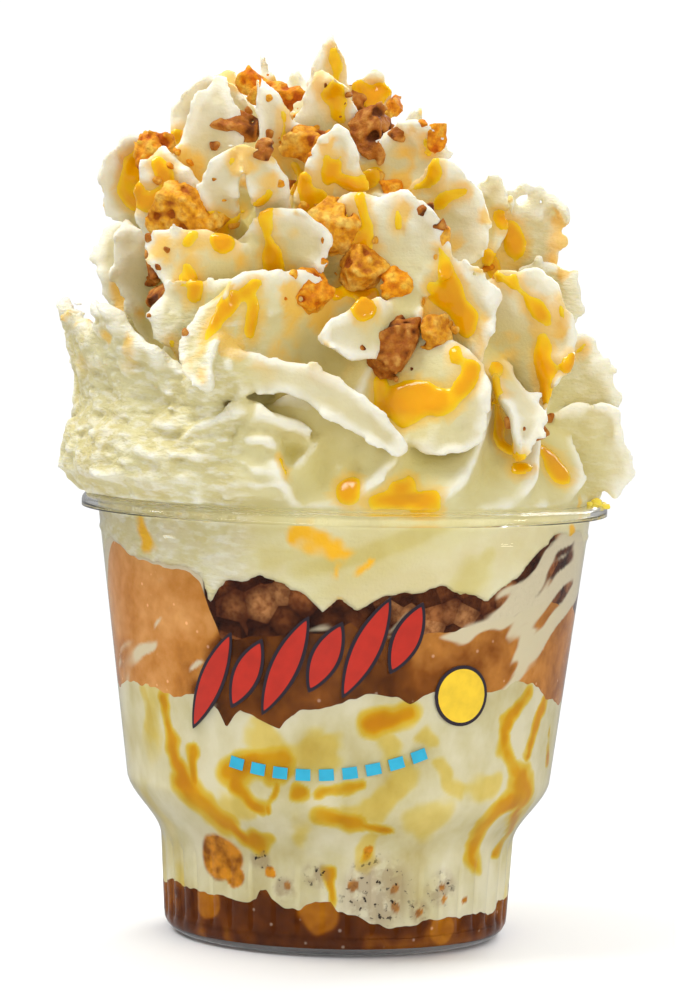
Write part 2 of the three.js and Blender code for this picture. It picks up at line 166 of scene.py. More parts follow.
# ---- Distance fields ----
class Volume:
    """A field of distances on a grid: below 0 is inside."""

    FAR = 50.0

    def __init__(self, low, high, step):
        self.step = step
        self.axes = [np.arange(a, b + step, step, dtype=np.float32) for a, b in zip(low, high)]
        self.field = np.full([len(axis) for axis in self.axes], self.FAR, np.float32)

    def block(self, low, high):
        """The slices of the grid between two corners, and its three axes shaped to broadcast."""
        cut = []
        for axis, a, b in zip(self.axes, low, high):
            first, last = np.searchsorted(axis, (a, b))
            cut.append(slice(int(first), int(max(last, first + 1))))
        x, y, z = (axis[part] for axis, part in zip(self.axes, cut))
        return tuple(cut), x[:, None, None], y[None, :, None], z[None, None, :]

    def whole(self):
        return self.block(*zip(*((axis[0], axis[-1] + 1) for axis in self.axes)))[1:]

    def noise(self, cells, seed):
        """Smooth noise on the grid, with cells of that size along each axis."""
        rng = np.random.default_rng(seed)
        spans = [(axis[-1] - axis[0]) / cell for axis, cell in zip(self.axes, cells)]
        values = rng.standard_normal([int(span) + 3 for span in spans]).astype(np.float32)
        for axis, cell, count in zip(self.axes, cells, values.shape):
            at = (axis - axis[0]) / cell
            low = at.astype(int)
            f = smooth(at - low)
            weights = np.zeros((len(axis), count), np.float32)
            weights[np.arange(len(axis)), low] = 1 - f
            weights[np.arange(len(axis)), low + 1] = f
            values = np.moveaxis(np.tensordot(weights, values, (1, 0)), 0, -1)
        return values

    def sample(self, points, values=None):
        """The field, or other values on the same grid, at points between the grid's own."""
        values = self.field if values is None else values
        at = (np.asarray(points) - [axis[0] for axis in self.axes]) / self.step
        top = np.array(values.shape) - 2
        low = np.clip(np.floor(at).astype(int), 0, top)
        return between(values, low, np.clip(at - low, 0, 1))

    def blurred(self, radius):
        """How full the grid is around each point, from 0 to 1."""
        full = np.clip(0.5 - self.field / self.step, 0, 1)
        reach = int(radius / self.step)
        for axis in range(3):
            for _ in range(2):
                pad = [(0, 0)] * 3
                pad[axis] = (reach + 1, reach)
                total = np.cumsum(np.pad(full, pad, mode="edge"), axis=axis, dtype=np.float32)
                size = 2 * reach + 1
                high = np.take(total, range(size, total.shape[axis]), axis=axis)
                low = np.take(total, range(0, total.shape[axis] - size), axis=axis)
                full = (high - low) / size
        return full

    def polygons(self):
        """The surface's points in millimetres and its faces."""
        field = self.field.copy()
        for axis in range(3):
            for end in (0, -1):
                side = [slice(None)] * 3
                side[axis] = end
                field[tuple(side)] = np.maximum(field[tuple(side)], 1)
        grid = openvdb.FloatGrid(self.FAR)
        grid.copyFromArray(field)
        points, triangles, quads = grid.convertToPolygons(isovalue=0.0, adaptivity=0.0)
        points = points * self.step + np.array([axis[0] for axis in self.axes])
        return points, [*quads.tolist(), *triangles.tolist()]


def union(a, b, blend):
    h = np.maximum(blend - np.abs(a - b), 0) / blend
    return np.minimum(a, b) - h * h * blend / 4


def overlap(a, b, blend):
    return -union(-a, -b, blend)


# ---- Meshes ----
def mesh_object(name, points, faces, material, values=None, sharp=0):
    """A mesh from points in millimetres. values are numbers for each point, by attribute name,
    and edges over `sharp` degrees stay sharp."""
    mesh = bpy.data.meshes.new(name)
    mesh.from_pydata((np.asarray(points) * MM).tolist(), [], faces)
    mesh.validate()
    for key, numbers in (values or {}).items():
        attribute = mesh.attributes.new(key, "FLOAT", "POINT")
        attribute.data.foreach_set("value", np.asarray(numbers, np.float32))
    mesh.shade_smooth()
    if sharp:
        mesh.set_sharp_from_angle(angle=math.radians(sharp))
    mesh.materials.append(material)
    piece = bpy.data.objects.new(name, mesh)
    bpy.context.scene.collection.objects.link(piece)
    return piece


def place(piece, slot, *nodes):
    """The piece rides with the sundae and stands for the CAD nodes, which it hides. The slot is not used.
    """
    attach(piece, "root")
    if nodes:
        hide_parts(*nodes)
    return piece


def grid_faces(rows, columns, closed=True):
    """Quads between rows of points that run round in columns."""
    faces = []
    for r in range(rows - 1):
        for c in range(columns if closed else columns - 1):
            right = (c + 1) % columns
            base = r * columns
            faces.append((base + c, base + right, base + columns + right, base + columns + c))
    return faces


def closed_faces(rows, columns):
    """Quads between rings of points, with a flat face at either end."""
    count = rows * columns
    ends = [tuple(range(columns))[::-1], tuple(range(count - columns, count))]
    return grid_faces(rows, columns) + ends


def ring_points(radius, az, height):
    turn = np.radians(az)
    return np.stack([radius * np.cos(turn), radius * np.sin(turn), height + 0 * az], 1)


# ---- Materials ----
class Shader:
    """A Principled material, with short ways to add the nodes that drive it."""

    def __init__(self, name, **inputs):
        self.material = bpy.data.materials.new(name)
        self.material.use_nodes = True
        self.tree = self.material.node_tree
        self.principled = self.tree.nodes["Principled BSDF"]
        for key, value in inputs.items():
            self.principled.inputs[key.replace("_", " ")].default_value = value

    def node(self, kind, **settings):
        made = self.tree.nodes.new("ShaderNode" + kind)
        for key, value in settings.items():
            setattr(made, key, value)
        return made

    def put(self, value, socket):
        """A number, a display colour or another node's output goes into the socket."""
        if isinstance(value, (int, float)):
            socket.default_value = value
        elif isinstance(value, tuple):
            socket.default_value = (*linear(value), 1)
        else:
            self.tree.links.new(value, socket)

    def drive(self, name, out):
        self.put(out, self.principled.inputs[name])

    def attribute(self, name):
        return self.node("Attribute", attribute_name=name).outputs["Fac"]

    def object_point(self):
        return self.node("TexCoord").outputs["Object"]

    def noise(self, scale, detail=3.0, stretch=(1, 1, 1)):
        """Noise whose features are about that many millimetres across."""
        mapping = self.node("Mapping")
        mapping.inputs["Scale"].default_value = stretch
        texture = self.node("TexNoise")
        texture.inputs["Scale"].default_value = 1 / (scale * MM)
        texture.inputs["Detail"].default_value = detail
        self.put(self.object_point(), mapping.inputs["Vector"])
        self.put(mapping.outputs["Vector"], texture.inputs["Vector"])
        return texture.outputs["Fac"]

    def cells(self, scale, output="Distance"):
        """Cells about that many millimetres across."""
        texture = self.node("TexVoronoi")
        texture.inputs["Scale"].default_value = 1 / (scale * MM)
        self.put(self.object_point(), texture.inputs["Vector"])
        return texture.outputs[output]

    def ramp(self, value, *stops):
        """A colour ramp of (place, colour) stops."""
        ramp = self.node("ValToRGB")
        elements = ramp.color_ramp.elements
        while len(elements) < len(stops):
            elements.new(0.5)
        for element, (at, colour) in zip(elements, stops):
            element.position = at
            element.color = (*linear(colour), 1)
        self.put(value, ramp.inputs["Fac"])
        return ramp.outputs["Color"]

    def mask(self, value, none, full):
        """0 where the value is at `none` and 1 where it is at `full`."""
        return self.ramp(value, *sorted([(none, BLACK), (full, WHITE)]))

    def scale(self, value, low, high):
        """The value moved from 0 to 1 onto low to high."""
        spread = self.node("MapRange")
        spread.inputs["To Min"].default_value = low
        spread.inputs["To Max"].default_value = high
        self.put(value, spread.inputs["Value"])
        return spread.outputs["Result"]

    def blend(self, share, first, second, kind="MIX"):
        node = self.node("Mix", data_type="RGBA", blend_type=kind)
        for value, socket in ((share, 0), (first, 6), (second, 7)):
            self.put(value, node.inputs[socket])
        return node.outputs[2]

    def stain(self, share, base, pattern, *stops):
        """The base colour multiplied by a ramp of the pattern."""
        return self.blend(share, base, self.ramp(pattern, *stops), "MULTIPLY")

    def calculate(self, operation, first, second):
        node = self.node("Math", operation=operation)
        self.put(first, node.inputs[0])
        self.put(second, node.inputs[1])
        return node.outputs[0]

    def times(self, first, second):
        return self.calculate("MULTIPLY", first, second)

    def plus(self, first, second):
        return self.calculate("ADD", first, second)

    def bump(self, height, strength, distance):
        """Relief of that depth in millimetres."""
        bump = self.node("Bump")
        bump.inputs["Strength"].default_value = strength
        bump.inputs["Distance"].default_value = distance * MM
        self.put(height, bump.inputs["Height"])
        self.drive("Normal", bump.outputs["Normal"])

    def let_through(self, share):
        """By that share, light goes straight through."""
        both = self.node("MixShader")
        self.put(share, both.inputs[0])
        self.put(self.principled.outputs[0], both.inputs[1])
        self.put(self.node("BsdfTransparent").outputs[0], both.inputs[2])
        self.put(both.outputs[0], self.tree.nodes["Material Output"].inputs["Surface"])


def linear(colour):
    """A 0 to 255 display colour as linear light."""
    return tuple(
        c / 255 / 12.92 if c <= 10 else ((c / 255 + 0.055) / 1.055) ** 2.4 for c in colour
    )


def cream_material():
    """Whipped cream: warm faces, painted highlights on thin edges and painted yellow-green shade in
    hollows, stained by sauce.
    """
    s = Shader(
        "whipped_cream",
        Roughness=0.5,
        Subsurface_Weight=0.3,
        Subsurface_Radius=(1.0, 0.85, 0.45),
        Subsurface_Scale=2 * MM,
        Specular_IOR_Level=0.35,
    )
    # Painted shade: the cream turns yellower and darker the more it is enclosed by cream round it.
    body = s.ramp(
        s.attribute("painted_shade"),
        (0.16, (232, 225, 194)),
        (0.34, (226, 218, 170)),
        (0.52, (222, 212, 154)),
        (0.75, (214, 200, 122)),
    )
    torn = s.attribute("torn")
    body = s.stain(0.6, body, s.noise(9), (0.35, (240, 230, 196)), (0.65, WHITE))
    # Painted highlight: thin edges, little enclosed by cream at a small scale, turn near white.
    edge = s.mask(s.attribute("edge"), 0.46, 0.33)
    body = s.blend(s.times(edge, 0.62), body, (252, 250, 238))
    flecks = s.times(s.mask(s.noise(2.6, 6, (1, 1, 2.6)), 0.48, 0.62), torn)
    body = s.blend(s.times(flecks, 0.4), body, (250, 248, 236))
    s.drive("Base Color", s.blend(s.attribute("soak"), body, (248, 192, 24)))
    fibres = s.times(s.noise(1.3, 5, (1, 1, 2.4)), torn)
    relief = s.plus(s.noise(0.5, 4), s.noise(2.4, 3, (1, 1, 3)))
    s.bump(s.plus(relief, s.times(fibres, 7.0)), 0.45, 0.26)
    s.drive("Roughness", s.scale(s.noise(3), 0.38, 0.6))
    return s.material


def caramel_material():
    """Caramel sauce: amber, deeper where it is thick, and wet."""
    s = Shader(
        "caramel",
        Roughness=0.12,
        Subsurface_Weight=0.2,
        Subsurface_Radius=(1.0, 0.5, 0.08),
        Subsurface_Scale=3 * MM,
        Specular_IOR_Level=0.25,
        Coat_Weight=0.5,
        Coat_Roughness=0.05,
    )
    amber = s.ramp(
        s.attribute("thick"),
        (0.05, (255, 228, 80)),
        (0.4, (254, 200, 12)),
        (1.0, (240, 166, 0)),
    )
    streaked_amber = s.stain(0.4, amber, s.noise(3.5, 2), (0.3, (255, 240, 205)), (0.6, WHITE))
    s.drive("Base Color", streaked_amber)
    s.bump(s.noise(2.5, 3), 0.45, 0.25)
    return s.material


def crust_material(name, pit, body, crest):
    """Broken baked crust: a golden body, with painted shade in its pits and painted light on its crests.
    """
    s = Shader(name, Roughness=0.7, Specular_IOR_Level=0.3)
    # Painted shade and light: darker in the pits and lighter on the crests, by the depth of the crumb's
    # relief.
    baked = s.ramp(s.attribute("relief"), (0.2, pit), (0.5, body), (0.8, crest))
    toned = s.stain(0.5, baked, s.noise(0.8, 5), (0.38, (204, 150, 92)), (0.58, WHITE))
    shaded = s.stain(0.8, toned, s.attribute("shade"), (0.0, (232, 222, 205)), (1.0, WHITE))
    s.drive("Base Color", shaded)
    s.bump(s.noise(0.6, 6), 0.9, 0.5)
    s.drive("Roughness", s.scale(s.noise(1.6), 0.45, 0.9))
    return s.material


def ice_cream_material():
    """Soft ice cream pressed on the wall, with caramel drawn through it."""
    s = Shader(
        "ice_cream",
        Roughness=0.4,
        Specular_IOR_Level=0.1,
        Subsurface_Weight=0.2,
        Subsurface_Radius=(1.0, 0.8, 0.45),
        Subsurface_Scale=1.5 * MM,
    )
    body = s.ramp(
        s.noise(9, 5, (1, 1, 0.7)),
        (0.28, (190, 175, 120)),
        (0.44, (206, 197, 154)),
        (0.60, (220, 213, 182)),
    )
    mixed = s.stain(
        1.0,
        body,
        s.attribute("streak"),
        (0.0, WHITE),
        (0.18, (255, 244, 186)),
        (0.42, (252, 224, 96)),
        (0.7, (248, 192, 24)),
        (1.0, (236, 156, 8)),
    )
    baked = s.ramp(s.noise(2.2, 4), (0.35, (140, 80, 8)), (0.62, (214, 142, 30)))
    fruit = s.blend(s.attribute("fruit"), mixed, baked)
    dots = s.mask(s.noise(0.9, 3), 0.4, 0.34)
    cloudy = s.times(s.mask(s.noise(3, 4), 0.36, 0.5), s.attribute("speck"))
    syrupy = s.blend(s.times(cloudy, 0.5), fruit, (142, 112, 82))
    s.drive("Base Color", s.blend(s.times(dots, cloudy), syrupy, (44, 32, 26)))
    s.bump(s.noise(3.2, 4), 0.3, 0.3)
    return s.material


def compote_material(name, *tones):
    """Stewed fruit in syrup, from its light pieces to the dark syrup, smeared with cream."""
    s = Shader(
        name,
        Roughness=0.25,
        Specular_IOR_Level=0.1,
        Subsurface_Weight=0.1,
        Subsurface_Radius=(1.0, 0.5, 0.2),
        Subsurface_Scale=1.5 * MM,
    )
    grain = s.scale(s.noise(2.2, 5), -0.22, 0.22)
    tone = s.plus(s.attribute("tone"), grain)
    fruit = s.ramp(tone, *((n / (len(tones) - 1), colour) for n, colour in enumerate(tones)))
    bubbles = s.ramp(s.cells(2.8), (0.07, (255, 236, 206)), (0.13, BLACK))
    fruit = s.blend(0.2, fruit, bubbles, "ADD")
    s.drive("Base Color", s.blend(s.attribute("cream"), fruit, (216, 204, 170)))
    s.bump(s.noise(2.2, 4), 0.35, 0.35)
    return s.material


def crumble_material():
    """Packed crumbs in browns, with painted shade in the gaps between them, and cream between them."""
    s = Shader("crumble", Roughness=0.7, Specular_IOR_Level=0.1)
    across = 4.2
    crumbs = s.ramp(
        s.cells(across, "Color"),
        (0.25, (92, 46, 16)),
        (0.45, (126, 70, 32)),
        (0.65, (162, 98, 50)),
        (0.85, (196, 138, 84)),
    )
    # Painted shade: darker towards the gaps between the cells of crumbs.
    toned = s.stain(0.9, crumbs, s.cells(across), (0.3, WHITE), (0.75, (110, 70, 44)))
    toned = s.stain(0.7, toned, s.noise(1.1, 5), (0.35, (150, 110, 84)), (0.6, WHITE))
    s.drive("Base Color", s.blend(s.attribute("cream"), toned, (216, 204, 172)))
    relief = s.plus(s.scale(s.cells(across), 1.0, 0.0), s.noise(1.1, 4))
    s.bump(relief, 0.6, 0.8)
    return s.material


def plastic_material():
    """Clear plastic that lets lamps through to what it holds."""
    s = Shader(
        "clear_plastic",
        Base_Color=(1, 1, 1, 1),
        Roughness=0.03,
        IOR=1.25,
        Transmission_Weight=1.0,
    )
    s.let_through(s.node("LightPath").outputs["Is Shadow Ray"])
    return s.material


def ink_material(name, colour):
    """A flat printed ink with a faint unevenness."""
    s = Shader(name, Roughness=0.35, Coat_Weight=0.3, Coat_Roughness=0.1)
    darker = tuple(int(c * 0.94) for c in colour)
    s.drive("Base Color", s.ramp(s.noise(2.5, 3), (0.35, darker), (0.65, colour)))
    return s.material


# ---- The cup ----
def wall_radius(height):
    """The outside radius of the wall at a height, or at an array of heights."""
    height = np.asarray(height, float)
    rise = np.clip(1 - height / CORNER, 0, 1)
    corner = BASE_RADIUS + CORNER * np.sqrt(1 - rise * rise)
    foot = mix(FOOT_LOW_RADIUS, FOOT_TOP_RADIUS, (height - CORNER) / (FOOT_TOP - CORNER))
    up = (height - FOOT_TOP) / (SHOULDER_TOP - FOOT_TOP)
    shoulder = mix(FOOT_TOP_RADIUS, SHOULDER_RADIUS, smooth(up))
    up = (height - SHOULDER_TOP) / (RIM_TOP - LIP_HEIGHT - SHOULDER_TOP)
    body = mix(SHOULDER_RADIUS, WALL_TOP_RADIUS, np.clip(up, 0, 1))
    bands = [height < CORNER, height < FOOT_TOP, height < SHOULDER_TOP]
    return np.select(bands, [corner, foot, shoulder], body)


def flute(az, height):
    """How far the wall sinks between the flutes of the foot."""
    fade = smooth((height - 2) / 2.5) * smooth((FOOT_TOP + 1 - height) / 2.5)
    return FLUTE_DEPTH * fade * (1 - np.abs(np.cos(np.radians(FLUTES * az / 2))))


def cup():
    """The whole wall as one turned shell with a rolled lip, a bead and a fluted foot."""
    columns = 8 * FLUTES
    bead_height = 70.5
    bead = 0.22
    lip = RIM_TOP - LIP_HEIGHT
    # The underside is a flat floor inside a narrow foot ring.
    outside = [(0.01, 0.5), (BASE_RADIUS - 4, 0.5), (BASE_RADIUS - 2.5, 0)]
    heights = np.concatenate([
        CORNER * np.array([0.0, 0.06, 0.2, 0.4, 0.7, 1.0]),
        np.linspace(CORNER + 1, SHOULDER_TOP, 24),
        np.linspace(SHOULDER_TOP + 3, bead_height - 1.4, 12),
        np.linspace(bead_height - 1, bead_height + 1, 9),
        [lip - 1.6, lip - 0.8],
    ])
    for height in heights:
        swell = bead * math.exp(-(((height - bead_height) / 0.5) ** 2))
        outside.append((float(wall_radius(height)) + swell, height))
    # The lip is rolled over outwards and open below.
    middle = (WALL_TOP_RADIUS - WALL + RIM_RADIUS) / 2
    for thick, angles in ((WALL_LIP, range(180, -1, -15)), (0, range(0, 181, 15))):
        reach = RIM_RADIUS - middle - thick
        rise = LIP_HEIGHT * 0.6 - thick
        base = lip + LIP_HEIGHT * 0.4
        run = [
            (middle + reach * math.cos(math.radians(a)), base + rise * math.sin(math.radians(a)))
            for a in angles
        ]
        edge = [(RIM_RADIUS - thick, lip)]
        outside += run + edge if thick else edge + run
    inside = [
        (float(wall_radius(height)) - WALL, height)
        for height in heights[::-1]
        if height > CORNER + 0.5
    ]
    inside += [(FOOT_LOW_RADIUS - WALL - 0.3, CORNER), (FOOT_LOW_RADIUS - WALL - 1.6, FLOOR)]
    inside.append((0.01, FLOOR))
    az = np.arange(columns) * 360 / columns
    points = []
    for n, (radius, height) in enumerate(outside + inside):
        sunk = radius - (flute(az, height) if n < len(outside) else 0 * az)
        points.append(ring_points(sunk, az, height))
    faces = closed_faces(len(points), columns)
    return mesh_object("cup", np.concatenate(points), faces, plastic_material())


# ---- The filling ----
# The boundaries of the layers, as (x, z) seen from the front in the axis plane.
COMPOTE_TOP_LINE = [
    (-29, 8), (-24.5, 6.5), (-19.2, 5.3), (-16, 4.4), (-14, 4.4), (-13.4, 6), (-12.4, 5.9),
    (-11.3, 4.4), (-9, 3.2), (-6, 3.3), (-3.6, 4.7), (-0.9, 4.8), (0.4, 2.9), (3.6, 2.5),
    (6.2, 1), (11.4, 0.8), (16.7, 1.9), (23.3, 2.9), (27.2, 3), (29, 5.6),
]
ICE_CREAM_TOP_LINE = [
    (-39, 43), (-34, 42.8), (-29.5, 41), (-24, 41), (-21.5, 38.5), (-20, 35.4), (-17.5, 37.6),
    (-14.5, 36), (-10.5, 35), (-8.5, 37.8), (-3.5, 39), (0.5, 40), (4.5, 41.8), (12.5, 41),
    (16.5, 42.8), (26.5, 42.2), (31, 44.5), (38, 41),
]
APPLE_TOP_LINE = [
    (-40, 67.5), (-36.5, 65), (-27, 62.6), (-25.2, 61), (-23.4, 56), (-22.2, 53.4), (-21.2, 51),
    (-18.5, 50.2), (-10.5, 51.6), (-2.5, 52.4), (1.5, 54.1), (5.5, 51.8), (15.5, 53), (23.5, 54),
    (29.5, 56), (34.5, 58), (39.5, 59),
]
CREAM_FLOOR_LINE = [
    (-41, 68.7), (-37, 65.7), (-32, 64.6), (-27, 63.5), (-25, 62.4), (-23.3, 57.2), (-21.8, 60.2),
    (-20.4, 61), (-17, 60.3), (-14.8, 61.9), (-10.6, 61), (-6.5, 58.9), (-3.4, 56.4), (-0.5, 58.7),
    (2.2, 56.5), (7.2, 59.2), (12, 60.2), (18, 61.8), (21, 60.2), (25.4, 59), (27.4, 60.4),
    (30.5, 63), (34.5, 67.6), (37.5, 70.5), (41, 71.5),
]
# The same boundaries' mean heights at the back.
BACK_COMPOTE = 8
BACK_ICE_CREAM = 43
BACK_APPLE = 53
BACK_CREAM = 61


def seen_at_wall(x, z):
    """The point of the wall that shows at x, z of the axis plane in the front view."""
    point = np.array((x, 0.0, z))
    away = point - EYE
    for share in np.arange(0.9, 1.0, 0.0005):
        at = EYE + away * share
        if math.hypot(at[0], at[1]) < float(wall_radius(at[2])):
            return at
    return point


def boundary(line, behind, waves):
    """The height of a boundary at any azimuth: the line in front, and waves behind."""
    seats = np.array([seen_at_wall(x, z) for x, z in line])
    azimuths = np.degrees(np.arctan2(seats[:, 1], seats[:, 0]))

    def height(az):
        turned = np.where(az > 90, az - 360, az)
        front = np.interp(turned, azimuths, seats[:, 2])
        beyond = np.maximum(azimuths[0] - turned, turned - azimuths[-1])
        back = behind + 1.2 * wave(az, waves, 40) + 0.8 * wave(az, 3 * waves - 1)
        return mix(front, back, smooth(beyond / 30))

    return height


def layer_floor(az):
    return FLOOR + 0.3 + 0 * az


RAGGED = PointNoise(11)  # for the edges and colours of all that is uneven


def ragged(smooth_edge, amount):
    """The boundary with drips and torn edges of a few millimetres."""
    def height(az):
        ring = ring_points(40, az, 0)
        fine = 0.9 * RAGGED(ring + 30, 3) + 0.55 * RAGGED(ring + 60, 1.4)
        return smooth_edge(az) + amount * (RAGGED(ring, 7) + fine)
    return height


def layer(name, bottom, top, material, colouring):
    """A layer between two boundaries, reaching into the wall all round."""
    columns = 720
    row_height = 0.5
    az = np.arange(columns) * 360 / columns
    low, high = bottom(az), top(az)
    high = np.maximum(high, low + 0.4)
    rows = max(int(np.max(high - low) / row_height), 3)
    rings = []
    below = [(0.35, 0.0), (0.8, 0.0)]
    side = [(1.0, n / rows) for n in range(rows + 1)]
    above = [(0.8, 1.0), (0.35, 1.0)]
    for reach, share in below + side + above:
        mean = mix(np.mean(low), np.mean(high), share)
        height = mix(mean, mix(low, high, share), reach)
        radius = reach * (wall_radius(height) - WALL + SUNK)
        radius = np.minimum(radius, np.where(height < CORNER, FOOT_LOW_RADIUS - WALL, radius))
        rings.append(ring_points(radius, az, height))
    faces = closed_faces(len(rings), columns)
    points = np.concatenate(rings)
    return mesh_object(name, points, faces, material, colouring(points), 50)


def near_line(points, line, radius):
    """1 on a line of points through space, fading to 0 at the radius."""
    best = np.full(len(points), 1e9)
    for a, b in zip(line[:-1], line[1:]):
        best = np.minimum(best, np.sqrt(to_segment(*points.T, a, b)[1]))
    return np.clip(1 - best / radius, 0, 1)


# Caramel drawn through the ice cream, as seen from the front: radius, then (x, z) points.
STREAKS = [
    (1.1, (-31, 41), (-30, 36), (-29.4, 33.5)),
    (1.6, (-29.4, 33.5), (-29.4, 30), (-27.9, 26.4), (-25.7, 22.9)),
    (2.4, (-27.8, 25.5), (-25.7, 22.9), (-23, 20.8), (-19.9, 18.3)),
    (1.5, (-19.9, 18.3), (-16.7, 16.2), (-14.4, 14.4), (-13.7, 15.9)),
    (1.0, (-25.8, 31.7), (-25.3, 25.5)),
    (2.0, (-9.7, 30), (-13.3, 29.4), (-16.6, 28.7), (-18.8, 26.8)),
    (1.1, (-18.8, 26.8), (-17.7, 24.1), (-15.2, 22.4), (-13.1, 21.3)),
    (1.6, (-12.7, 27.3), (-10.1, 28.2)),
    (0.5, (-11.6, 25.5), (-11.7, 20.8)),
    (0.9, (-7.6, 24.1), (-6.4, 24.5)),
    (0.8, (-3.4, 24.7), (-0.4, 25.4), (4, 26.1)),
    (1.6, (-3.1, 20.3), (-0.3, 19.6), (2.7, 18.7)),
    (0.9, (2.7, 18.7), (8.9, 17.8)),
    (0.7, (5.5, 13.9), (5.2, 12.7)),
    (0.6, (-1.3, 10.9), (-1, 4.4)),
    (1.2, (32.7, 41.9), (31.2, 38.8), (28.8, 36.1), (29, 33.5), (30.5, 29.4), (31.8, 26.4)),
    (2.4, (31.8, 26.4), (32.9, 24.1)),
    (1.6, (31.5, 23.8), (28.9, 22.4), (26.4, 19.6), (25, 16.6), (24.9, 12.3)),
    (1.2, (31.5, 21.5), (29.9, 17.4), (28.4, 14.8)),
    (0.9, (36.1, 41.1), (34.1, 34.9), (33.3, 31.2)),
    (0.7, (37, 36.5), (36.8, 31)),
    (1.9, (5.7, 35.8), (8.5, 37), (11.8, 37.9)),
]
# Thinner caramel, which only tints the ice cream.
PALE_STREAKS = [
    (1.8, (2.3, 20.8), (6.7, 21.5), (9.6, 24.7), (10.5, 28.2), (8, 34)),
    (1.4, (15.9, 34), (17.6, 29.4), (19.7, 26.1), (22.7, 25.2)),
    (2.2, (25.4, 25.7), (26, 25.4)),
    (2.2, (-14, 33), (-9, 31), (-2, 31)),
    (1.5, (-34, 40), (-33, 34)),
    (1.4, (5.2, 12), (5, 16)),
    (2.0, (-22, 19), (-17, 21)),
]
# Clouds of dark specks and baked bits of fruit in the ice cream: x, z and radius.
SPECKS = [
    (7.5, 6.5, 6), (-13.5, 12, 1.8), (-9, 6.7, 2), (-3.5, 9.5, 2.2), (18.7, 7.6, 3), (14.9, 3.4, 2),
]
FRUIT_BITS = [
    (-20.6, 12.2, 4.3), (-18, 8.5, 1.8), (-12, 9.5, 1.1), (5.6, 14, 0.8), (3.1, 7.8, 1.0),
    (10.8, 7.2, 0.8), (11, 4.2, 1.0), (18.7, 7.8, 0.8), (19.4, 5.6, 0.6), (14.9, 3.6, 0.8),
    (22.9, 5.3, 0.6), (-9.1, 7.2, 0.9),
]
# Pale golden fruit in the dark syrup at the bottom.
GOLDEN_BITS = [(-3.2, 2.4, 4.2), (-22.7, 4.4, 3.4), (19, 0.5, 2.6)]


def streaked(points, lines, warp):
    """1 along the lines, which are seen from the front, fading out at their radius."""
    shifted = points + warp
    found = np.zeros(len(points))
    for radius, *line in lines:
        path = np.array([seen_at_wall(x, z) for x, z in line])
        found = np.maximum(found, near_line(shifted, path, 2.0 * radius))
    return found


def near_spot(points, x, z, radius):
    """1 at the spot of the wall that shows at x, z in the front view, fading to 0 at the radius."""
    return near_line(points, np.array([seen_at_wall(x, z)] * 2), radius)


def wander(points):
    """Smooth uneven shifts of the points by some millimetres."""
    ways = [RAGGED(points + 9 * n, 5) + 0.4 * RAGGED(points + 9 * n, 1.8) for n in range(3)]
    return 2 * np.stack(ways, 1)


def ice_cream_colouring(points):
    warp = wander(points)
    drawn = streaked(points, STREAKS, 0.6 * warp)
    deep = smooth((drawn - 0.35) * 2.4) * (0.75 + 0.4 * RAGGED(points + 75, 4))
    streak = 0.42 * smooth((drawn - 0.14) * 4) + 0.5 * deep
    pale = smooth((streaked(points, PALE_STREAKS, warp) - 0.15) * 2.2)
    streak = np.maximum(streak, 0.28 * pale)
    behind = smooth((points[:, 1] + 5) / 12)
    swirl = np.abs(RAGGED(points * (1, 1, 0.5), 13))
    streak = np.maximum(streak, behind * np.clip(1 - swirl * 9, 0, 1))
    wisps = RAGGED((points + warp) * (1, 1, 0.6) + 50, 9)
    streak = np.maximum(streak, 0.25 * smooth((wisps - 0.4) / 0.4))
    speck = np.zeros(len(points))
    for x, z, radius in SPECKS:
        speck = np.maximum(speck, smooth(near_spot(points, x, z, radius * 1.3) * 2))
    fruit = np.zeros(len(points))
    for x, z, radius in FRUIT_BITS:
        near = near_spot(points + 0.3 * warp, x, z, radius * 1.3)
        fruit = np.maximum(fruit, smooth((near - 0.15) * 8))
    return {"streak": streak, "speck": speck, "fruit": fruit}


def smears(points):
    """Streaks of cream along the wall that rise to the right, from about -1 to 1."""
    turn = np.arctan2(points[:, 1], points[:, 0])
    round_wall, height = 38 * turn, points[:, 2]
    along = 0.9 * round_wall + 0.42 * height
    across = 0.9 * height - 0.42 * round_wall
    slanted = np.stack([along, across + 2 * RAGGED(points + 95, 6), 0 * along], 1)
    return RAGGED(slanted, (11, 3.2, 9)) + 0.5 * RAGGED(slanted + 40, (4, 1.3, 9))


def apple_colouring(points):
    """A pale piece on the left, dark syrup in the middle and cream drawn in on the right."""
    x, front = points[:, 0], smooth((8 - points[:, 1]) / 16)
    wide = RAGGED(points + 15, 9) + 0.5 * RAGGED(points + 35, 4)
    middle = smooth((x + 23 + 5 * wide) / 4) * smooth((18 - x) / 10)
    tone = mix(0.3, 0.86, middle) + 0.2 * smooth((x - 8) / 14)
    tone = mix(0.5, tone, front) + 0.26 * wide
    share = mix(0.3, 1.0, smooth((x - 4) / 22) * front)
    return {"tone": tone, "cream": smooth((smears(points) - 1 + share) / 0.25)}


def syrup_colouring(points):
    """Dark syrup with pale pieces of fruit in it."""
    wide = RAGGED(points + 5, 6) + 0.6 * RAGGED(points + 45, 2.2)
    pieces = 0.6 * smooth((wide + 0.1) / 0.7)
    for x, z, radius in GOLDEN_BITS:
        near = near_spot(points, x, z, 1.5 * radius) + 0.15 * wide
        pieces = np.maximum(pieces, smooth((near - 0.3) * 6))
    return {"tone": 0.9 - 0.65 * pieces, "cream": np.zeros(len(points))}


def crumble_colouring(points):
    front = smooth((8 - points[:, 1]) / 16)
    right = smooth((points[:, 0] - 4) / 22) * front
    left = smooth((-22.5 - points[:, 0]) / 1.5) * front
    far = smooth((points[:, 0] - 29) / 5) * front
    share = np.maximum(smears(points) + mix(0.25, 0.7, right) + 0.4 * far, 2 * left)
    return {"cream": smooth((share - 1) / 0.25)}


